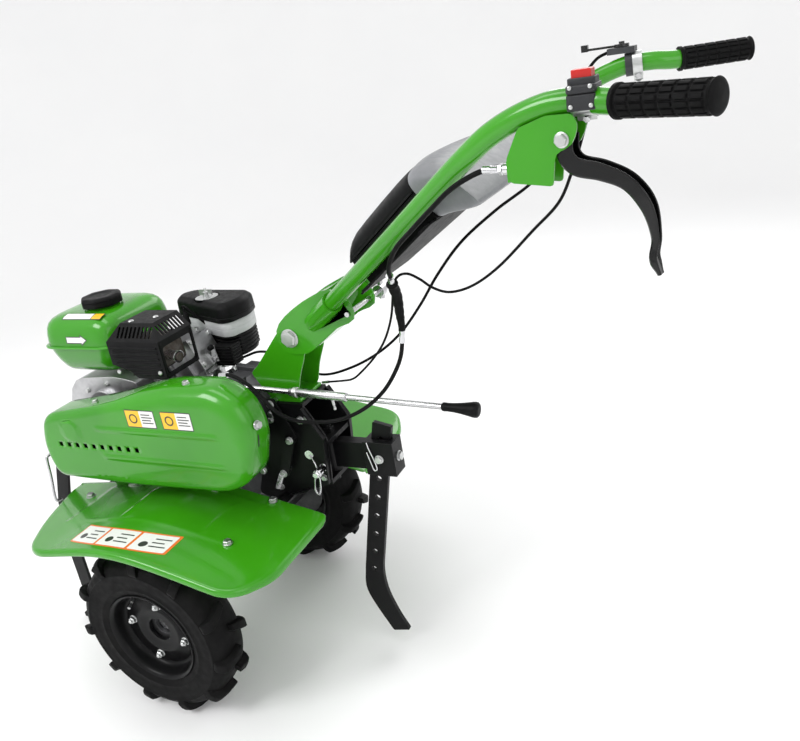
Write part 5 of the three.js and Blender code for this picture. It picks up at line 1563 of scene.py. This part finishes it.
# ---------------------------------------------------------------- fasteners
def fasteners():
    """Bolts of the fenders, gear case, pedestal, hitch and engine feet."""
    piece = Piece("fender_bolts", "frame", "zinc", "zinc")
    for side in (-1, 1):
        for x, y in ((-250, 160), (220, 100), (215, 260), (85, 116)):
            bolt(piece, (x, side * y, fender_top(x, y) + 0.2), (0.03, 0, 1), 9.5, 0, x * 0.01)
    piece.made(sharp=30)

    piece = Piece("case_bolts", "frame", "zinc", "zinc", "steel")
    spots = []
    for middle, radius, angles in (
        (AXLE, CASE_LOW, (205, 245, 290, 335)),
        (INPUT, CASE_HIGH, (-15, 25, 65, 105, 150)),
    ):
        for a in (radians(angle) for angle in angles):
            spots.append((middle[0] + radius * cos(a), middle[1] + radius * sin(a)))
    for t in (0.28, 0.52, 0.76):
        r = CASE_LOW + (CASE_HIGH - CASE_LOW) * t
        for s in (-1, 1):
            spots.append((INPUT[0] * t + s * r * 0.94, AXLE[1] + (INPUT[1] - AXLE[1]) * t - s * r * 0.345))
    for x, z in spots:
        bolt(piece, (x, -8.2, z), (0, -1, 0), 7, 0, x)
        nut_on_stud(piece, (x, 8.2, z), (0, 1, 0), 7, 0, z)
    for side in (-1, 1):
        for k, a in enumerate(circle(5, 0.4)):
            spot = (INPUT[0] + 52 * cos(a), side * 46.2, INPUT[1] + 52 * sin(a))
            bolt(piece, spot, (0, side, 0), 6, 0, k)
    piece.made(sharp=30)

    piece = Piece("handle_bolts", "frame", "zinc", "zinc", "steel")
    for side in (-1, 1):
        spot = (PIVOT[0], side * 47.7, PIVOT[1])
        washer = [(0, 0), (19, 0), (19.4, 0.6), (19.4, 2.2), (18.6, 3), (0, 3)]
        piece.add(*turned(washer, spot, (0, side, 0), 48))
        place = frame_of(spot, (0, side, 0))
        rings = [(16.8, 2.8), (16.8, 8.6), (14.6, 10.9), (5, 10.9)]
        piece.add(*hexagonal(place, rings, 0.3))
    piece.made(sharp=30)

    piece = Piece("hitch_bolts", "frame", "zinc", "zinc", "steel")
    for x, z in ((176, 470), (176, 560), (232, 610), (300, 600)):
        for side in (-1, 1):
            bolt(piece, (x, side * 51.8, z), (0, side, 0), 8.5, 0, x)
    piece.made(sharp=30)

    piece = Piece("engine_feet_bolts", "frame", "zinc", "zinc", "steel")
    for x in (-284, -92):
        for side in (-1, 1):
            bolt(piece, (x, side * 74, 531.6), (0, 0, 1), 8, 0, x)
    piece.made(sharp=30)


# ---------------------------------------------------------------- engine details
CYLINDER_TILT = radians(25)


def toward_head(u, y, lift=0.0):
    """A point in the cylinder's own frame: u along the bore from the crank, lift above it."""
    c, s = cos(CYLINDER_TILT), sin(CYLINDER_TILT)
    return Vector((CRANK[0] + u * c - lift * s, y, CRANK[1] + u * s + lift * c))


COIL_POINTS = 14  # in each turn of a spring


def coil_line(start, end, radius, turns):
    """The wire of a coil spring from start to end."""
    start, end = Vector(start), Vector(end)
    axis = (end - start).normalized()
    side = axis.cross(Vector((0, 1, 0)))
    side = side.normalized() if side.length > 0.1 else Vector((0, 0, 1))
    up = axis.cross(side)
    count = turns * COIL_POINTS
    points = []
    for i in range(count + 1):
        a = 2 * pi * i / COIL_POINTS
        points.append(start.lerp(end, i / count) + (side * cos(a) + up * sin(a)) * radius)
    return points


def engine_details():
    """Head bolts, spark plug and lead, governor linkage, fuel hose and guard screws."""
    head = Piece("head_hardware", "frame", "cast_engine", "zinc", "chrome", "black_rubber", "cast_engine")
    axis = toward_head(1, 0) - toward_head(0, 0)
    for y, lift in ((-32, -28), (-32, 26), (32, -28), (32, 26)):
        bolt(head, toward_head(262, y, lift), axis, 6, 0, y)
    for y, lift in ((-40, -46), (-40, 44), (38, -46), (38, 44)):
        bolt(head, toward_head(232, y, lift), axis, 7, 0, lift)
    plug = toward_head(228, 22, 52)
    lean = (axis * 0.3 + Vector((-sin(CYLINDER_TILT), 0.2, cos(CYLINDER_TILT)))).normalized()
    place = frame_of(plug, lean)
    head.add(*hexagonal(place, [(9, -2), (9, 6)]))
    head.add(*turned([(5, 5), (5, 16), (3.4, 18), (3.4, 22)], plug, lean, 24), 1)
    cap = [(0, 12), (7.6, 12), (8.4, 14), (8, 22), (7, 27), (7.2, 32), (5.6, 36), (4.2, 42), (0, 42)]
    head.add(*turned(cap, plug, lean, 28), 2)
    top = plug + lean * 40
    lead = [top, top + lean * 14, (34, 60, 758), (-20, 78, 742), (-70, 84, 716), (-96, 88, 690)]
    head.add(*swept(smooth_line(lead, 10, 5), 3.4, 14), 2)
    head.made(sharp=35)

    links = Piece("governor_linkage", "frame", "zinc", "zinc", "steel", "black_plastic")
    rod = smooth_line([(-78, 70, 640), (-40, 74, 668), (0, 70, 690), (30, 66, 700)], 8, 5)
    links.add(*swept(rod, 1.6, 10))
    links.add(*swept(coil_line((-60, 80, 655), (20, 72, 700), 3.6, 18), 0.7, 6), 1)
    links.add(*swept(coil_line((-40, 62, 704), (36, 58, 712), 3.0, 16), 0.6, 6), 1)
    arm = rounded([(-96, 600), (-84, 600), (-74, 700), (-84, 712), (-94, 700)], 5, 5)
    links.add(*prism(arm, side_on, 88.5, 90.5))
    bolt(links, (-90, 91, 612), (0, 1, 0), 6)
    bolt(links, (-84, 91, 700), (0, 1, 0), 5)
    links.made(sharp=35)

    hose = Piece("fuel_hose", "frame", "black_rubber", "black_rubber", "zinc")
    line = smooth_line(
        [(-150, 60, 716), (-128, 74, 700), (-80, 84, 690), (-20, 84, 668), (14, 72, 655)], 10, 5
    )
    hose.add(*swept(line, 4.0, 16))
    for spot, way in ((line[2], line[3] - line[1]), (line[-3], line[-2] - line[-4])):
        hose.add(*turned([(4.1, -2), (5, -1.6), (5, 1.6), (4.1, 2)], spot, way, 20), 1)
    hose.made(sharp=40)

    screws = Piece("guard_screws", "frame", "zinc", "zinc", "steel")
    for x, y in ((-20, -112), (24, -86)):
        screw(screws, (x, y, 839.4), (0, 0, 1), 6)
    for x, z in ((-52, 742), (58, 742)):
        screw(screws, (x, -150.6, z), (0, -1, 0), 5)
    screws.made(sharp=30)


def recoil_details():
    """Rings, screws and the rope guide on the starter housing, and its middle cap."""
    face = (CRANK[0], 150.0, CRANK[1])
    piece = Piece("recoil_trim", "frame", "black_paint", "black_paint", "zinc")
    for inner, outer, high in ((92, 98, 2.2), (36, 40, 2.4)):
        profile = [(inner, -0.6), (inner + 0.8, high - 0.5), (inner + 1.6, high), (outer - 1.6, high)]
        profile += [(outer - 0.8, high - 0.5), (outer, -0.6)]
        piece.add(*turned(profile, face, (0, 1, 0), 96, closed=True))
    piece.add(*turned([(0, 3.6), (22, 3.6), (27, 2.6), (29, 0.6), (29, -0.6)], face, (0, 1, 0), 72))
    for k, a in enumerate(circle(3, 0.5)):
        spot = (face[0] + 104 * cos(a), 150.2, face[2] + 104 * sin(a))
        bolt(piece, spot, (0, 1, 0), 5, 1, k)
    for k in range(6):
        a = 2 * pi * (k + 0.5) / 6
        for r in (52, 62, 72):
            spot = (face[0] + r * cos(a), 150, face[2] + r * sin(a))
            piece.add(*turned([(0, 1.6), (2.6, 1.4), (3.4, 0.4), (3.4, -0.6)], spot, (0, 1, 0), 20))
    piece.made(sharp=35)


def crankcase_details():
    """Cast ribs, the side cover's bolts, the drain plug and the exhaust's flared end."""
    ribs = Piece("crankcase_ribs", "frame", "cast_engine", "cast_engine", "zinc", "steel")
    outline = [
        Vector(p) for p in ((-284, 536), (-299, 552), (-301, 640), (-297, 652), (-280, 652), (-280, 536))
    ]
    for y in range(-72, 73, 24):
        ribs.add(*prism(outline, side_on, y - 2.2, y + 2.2))
    for k, a in enumerate(circle(6, 0.3)):
        spot = (CRANK[0] + 74 * cos(a) * 0.9, -92.2, CRANK[1] + 74 * sin(a) * 0.8)
        bolt(ribs, spot, (0, -1, 0), 6, 1, k)
    ribs.made(bevel=0.8, segments=2, sharp=30)
    plug = Piece("drain_plug", "frame", "zinc", "zinc", "steel")
    for y in (-40, 48):
        bolt(plug, (-300.4, y, 545), (-1, 0, 0), 9, 0, 0.4)
    outlet = Vector((52, -109.5, 768))
    way = Vector((44, -8, -5))
    pipe = [(9.4, 0), (10.2, 2), (10.2, 22), (12.6, 32), (13.4, 33), (12.4, 33.4), (9.2, 23), (9.2, 0)]
    plug.add(*turned(pipe, outlet, way, 40), 1)
    plug.made(sharp=35)


def cover_bolts():
    """The belt cover's rear bolt, a black patch painted as the shade of the slit below it, and its two top
    screws.
    """
    piece = Piece("cover_bolts", "frame", "zinc", "zinc", "label_black")
    bolt(piece, (289.2, -178, 652), (1, 0, 0.08), 9, 0, 0.3)
    # Painted shade: a black film patch stands for the dark inside of the slit; no opening is cut.
    decal(piece, slot_outline(-181, -177, 604, 632, 5), lambda u, v: at(cover_rear(v) + 0.4, u, v), 1, 4)
    bolt(piece, (-120, -176, 680.6), (-0.15, 0, 1), 7, 0, 0.1)
    bolt(piece, (140, -176, 733.4), (0, 0, 1), 7, 0, 0.7)
    piece.made(sharp=30)


def cover_rear(z):
    """Where the belt cover's rear wall stands at height z."""
    reach = -1e9
    for a, b in zip(COVER_OUTLINE, COVER_OUTLINE[1:] + COVER_OUTLINE[:1]):
        if min(a.y, b.y) <= z <= max(a.y, b.y) and a.y != b.y:
            reach = max(reach, a.x + (b.x - a.x) * (z - a.y) / (b.y - a.y))
    return reach


def pierced(piece, outline, holes, place, low, high):
    """A flat plate with holes: outline points through place(u, v, w) from w low to w high."""
    made, faces = sheeted(outline, holes, (), ())
    for level in (low, high):
        piece.add([place(p.x, p.y, level) for p in made], faces)
    for loop in [outline] + holes:
        piece.add(*lofted([[place(p.x, p.y, w) for p in loop] for w in (low, high)], caps=False))


COULTER_LEAN = radians(12.8)
COULTER_TOP_HOLE = (454, 541)
HOLES, HOLE_RADIUS, HOLE_PITCH = 8, 6.4, 49.0


def coulter_point(u, v, w):
    """A point of the coulter's own frame: u to the rear, v up the bar, w across it."""
    c, s = cos(COULTER_LEAN), sin(COULTER_LEAN)
    return at(COULTER_TOP_HOLE[0] + u * c + v * s, w, COULTER_TOP_HOLE[1] - u * s + v * c)


def coulter_plate():
    """The depth bar: a pierced shank that turns into a blade."""
    corners = [(-21.4, -345, 2.5), (-21.4, 35.6, 4), (21.4, 35.6, 4), (21.4, -345, 40)]
    corners += [
        (35, -396, 40), (66, -448, 60), (97, -486, 4), (58, -504, 4), (14, -453, 60), (-19.5, -407, 40)
    ]
    outline = anticlockwise(rounded(corners, 4, 5))
    holes = []
    for k in range(HOLES):
        drop = HOLE_PITCH * k
        ring = [(HOLE_RADIUS * cos(a), HOLE_RADIUS * sin(a) - drop) for a in circle(28)]
        holes.append([Vector(p) for p in ring])
    piece = Piece("coulter_bar", "coulter", "black_paint", "black_paint")
    pierced(piece, outline, holes, coulter_point, -5.0, 5.0)
    piece.made(bevel=0.8, segments=2, sharp=30, replaces=["coulter"])


def choke_parts():
    """The choke's black housing with its ribs, lever and knob, between the head and the air cleaner."""
    piece = Piece("choke_housing", "frame", "black_plastic", "black_plastic", "zinc", "steel")
    piece.add(*block(68, 116, 10, 46, 690, 736))
    for k in range(6):
        z = 694 + 7 * k
        piece.add(*block(70, 114, 7.6, 12, z, z + 3))
        piece.add(*block(114, 118.6, 12, 44, z, z + 3))
    piece.made(bevel=1.2, segments=2, sharp=30)
    lever = Piece("choke_lever", "frame", "zinc", "zinc", "black_plastic", "steel")
    blade = rounded([(70, 742), (78, 742), (84, 704), (66, 704)], 3.5, 5)
    lever.add(*prism(blade, side_on, 2.5, 4.5))
    bolt(lever, (75, 2.6, 711), (0, -1, 0), 5, 2, 0.2)
    knob = [(0, 0), (5, 0), (6, 2), (6, 10), (4.6, 12), (0, 12)]
    lever.add(*turned(knob, (74, 2.5, 738), (0, -1, 0), 28), 1)
    lever.add(*swept(smooth_line([(78, 1, 706), (60, -6, 690), (30, -8, 676), (0, 4, 668)], 8, 4), 1.4, 10))
    lever.add(*swept(coil_line((62, -12, 684), (10, -10, 664), 3.4, 18), 0.7, 6), 2)
    lever.made(sharp=35)


def edge_strip(piece, start, end, y_low, y_high, deep=3.0):
    """A flange along the side-view line from start to end."""
    a, b = Vector(start), Vector(end)
    along = (b - a).normalized()
    inward = Vector((-along.y, along.x)) * deep
    piece.add(*prism([a, b, b + inward, a + inward], side_on, y_low, y_high))


def hitch_details():
    """Flanges, shift crank, return spring and pins on the sides of the hitch bracket."""
    piece = Piece("hitch_links", "frame", "black_paint", "black_paint", "zinc", "steel", "chrome")
    for side in (-1, 1):
        low, high = sorted((side * 51, side * 62))
        for start, end in (((344, 456), (353, 556)), ((353, 562), (313, 630)), ((200, 402), (288, 433))):
            edge_strip(piece, start, end, low, high)
        for x, z in ((226, 596), (318, 606), (214, 432), (330, 466)):
            bolt(piece, (x, side * 51.5, z), (0, side, 0), 7, 1, x)
    crank = rounded([(236, 652), (254, 652), (292, 566), (282, 548), (264, 556), (246, 606)], 6, 6)
    piece.add(*prism(crank, side_on, -66, -61))
    stay = rounded([(262, 566), (290, 566), (252, 470), (232, 476)], 7, 6)
    piece.add(*prism(stay, side_on, -72, -67.5))
    for x, z, y in ((245, 640, -66), (277, 561, -72), (243, 479, -72)):
        bolt(piece, (x, y, z), (0, -1, 0), 8, 1, z)
        piece.add(*turned([(0, 0), (6, 0), (6, 22), (0, 22)], (x, y, z), (0, 1, 0), 24), 2)
    piece.add(*swept(coil_line((243, -78, 482), (212, -62, 436), 5.2, 16), 1.1, 8), 2)
    pin = [(0, 0), (9, 0), (9, 3), (7, 4), (7, 18), (9.4, 19), (9.4, 30), (8, 31.5), (0, 31.5)]
    piece.add(*turned(pin, (334, -51.5, 492), (0, -1, 0), 36), 3)
    bolt(piece, (334, -83, 492), (0, -1, 0), 8, 3, 0.3)
    piece.made(bevel=0.5, segments=2, sharp=32)

    clip = Piece("drawbar_clip", "drawbar", "steel", "chrome")
    wire = [
        (428, -22, 540), (433, -25, 526), (442, -26, 500), (445, -26, 482), (438, -26, 478),
        (434, -26, 492), (427, -26, 520),
    ]
    clip.add(*swept(smooth_line(wire, 8, 2.5), 1.6, 12))
    clip.made(sharp=50)


# ---------------------------------------------------------------- clips, rods and set bolts
def small_parts():
    """The hitch pin's clip, the stand's lock rod and the drawbar's set bolts."""
    clip = Piece("hitch_clip", "frame", "steel", "chrome")
    wire = smooth_line(
        [
            (306, -53, 519), (320, -60, 500), (323, -60, 470), (318, -58, 440), (310, -56, 424),
            (303, -56, 434), (306, -57, 452), (312, -58, 470),
        ],
        10, 3,
    )
    clip.add(*swept(wire, 1.9, 12))
    clip.add(*turned([(0, 0), (10, 0), (10, 1.5), (0, 1.5)], (304, -52, 519), (0, -1, 0), 32))
    clip.made(sharp=50)

    rod = Piece("stand_lock_rod", "stand", "steel", "steel")
    line = smooth_line(
        [
            (-392, -108, 500), (-394, -124, 500), (-396, -130, 492), (-404, -130, 440), (-414, -130, 392),
            (-418, -126, 372), (-417, -112, 368),
        ],
        8, 4,
    )
    rod.add(*swept(line, 3.6, 14))
    rod.made(sharp=50)

    pin = Piece("coulter_set_pin", "drawbar", "zinc", "zinc", "chrome")
    for side in (-1, 1):
        bolt(pin, (452, side * 22.3, 503), (0, side, 0), 9, 0)
    bolt(pin, (486.2, 0, 503), (1, 0, 0), 10, 0)
    pin.made(sharp=30)


cover_labels()
fender_labels()
tank_labels()
fasteners()
engine_details()
recoil_details()
crankcase_details()
cover_bolts()
coulter_plate()
choke_parts()
hitch_details()
small_parts()


# ---------------------------------------------------------------- studio, light and camera
FLOOR_RADIUS, WALL_CURVE, WALL_TOP = 4.2, 2.4, 3.6
FLOOR_GAP = 0.0006  # keeps the paper from cutting the soles


def studio():
    """A round paper sweep: flat floor that curves up into a wall on all sides."""
    profile = [(0.01, 0.0), (2.0, 0.0), (FLOOR_RADIUS, 0.0)]
    for k in range(1, 13):
        a = pi / 2 * k / 12
        profile.append((FLOOR_RADIUS + WALL_CURVE * sin(a), WALL_CURVE - WALL_CURVE * cos(a)))
    profile.append((6.6, WALL_TOP))
    verts, faces = [], []
    sides = 96
    for r, z in profile:
        for a in circle(sides):
            verts.append((r * cos(a), r * sin(a), z - FLOOR_GAP))
    for i in range(len(profile) - 1):
        for j in range(sides):
            k = (j + 1) % sides
            faces.append((i * sides + j, i * sides + k, (i + 1) * sides + k, (i + 1) * sides + j))
    faces.append(tuple(range(sides))[::-1])
    mesh = bpy.data.meshes.new("studio_sweep")
    mesh.from_pydata(verts, [], faces)
    mesh.materials.append(SURFACES["studio"])
    mesh.shade_smooth()
    sweep = bpy.data.objects.new("studio_sweep", mesh)
    bpy.context.scene.collection.objects.link(sweep)


def softbox(name, spot, target, size, power):
    """A rectangular lamp at spot that looks at target."""
    light = bpy.data.lights.new(name, "AREA")
    light.shape = "RECTANGLE"
    light.size, light.size_y = size
    light.energy = power
    obj = bpy.data.objects.new(name, light)
    obj.location = spot
    obj.rotation_euler = (Vector(target) - Vector(spot)).to_track_quat("-Z", "Y").to_euler()
    bpy.context.scene.collection.objects.link(obj)


def lights():
    """White surroundings and four soft lamps."""
    world = bpy.data.worlds.new("studio_world")
    world.use_nodes = True
    background = world.node_tree.nodes["Background"]
    background.inputs["Color"].default_value = (1.0, 1.0, 1.0, 1.0)
    background.inputs["Strength"].default_value = 0.85
    bpy.context.scene.world = world
    softbox("key", (-1.6, -2.6, 3.2), (0, 0, 0.6), (2.0, 1.4), 80)
    softbox("fill", (2.8, -1.6, 1.8), (0, 0, 0.6), (2.0, 2.0), 14)
    softbox("rim", (0.6, 3.0, 2.6), (0, 0, 0.7), (2.6, 1.2), 30)
    softbox("top", (-0.2, -0.3, 3.6), (-0.1, 0, 0.5), (2.4, 0.9), 20)
    bpy.context.scene.view_settings.view_transform = "Standard"


def camera():
    """The camera at CAMERA_AT, turned by azimuth, elevation and roll."""
    a, e, r = (radians(v) for v in CAMERA_TURN)
    right = Vector((cos(a), sin(a), 0))
    back = Vector((sin(a) * cos(e), -cos(a) * cos(e), sin(e)))
    up = Vector((-sin(a) * sin(e), cos(a) * sin(e), cos(e)))
    side = right * cos(r) + up * sin(r)
    top = up * cos(r) - right * sin(r)
    lens = bpy.data.cameras.new("camera")
    lens.sensor_width = 36
    lens.lens = CAMERA_LENS
    obj = bpy.data.objects.new("camera", lens)
    obj.matrix_world = Matrix.Translation(CAMERA_AT) @ Matrix((side, top, back)).transposed().to_4x4()
    bpy.context.scene.collection.objects.link(obj)
    bpy.context.scene.camera = obj


studio()
lights()
camera()

bpy.context.view_layer.update()
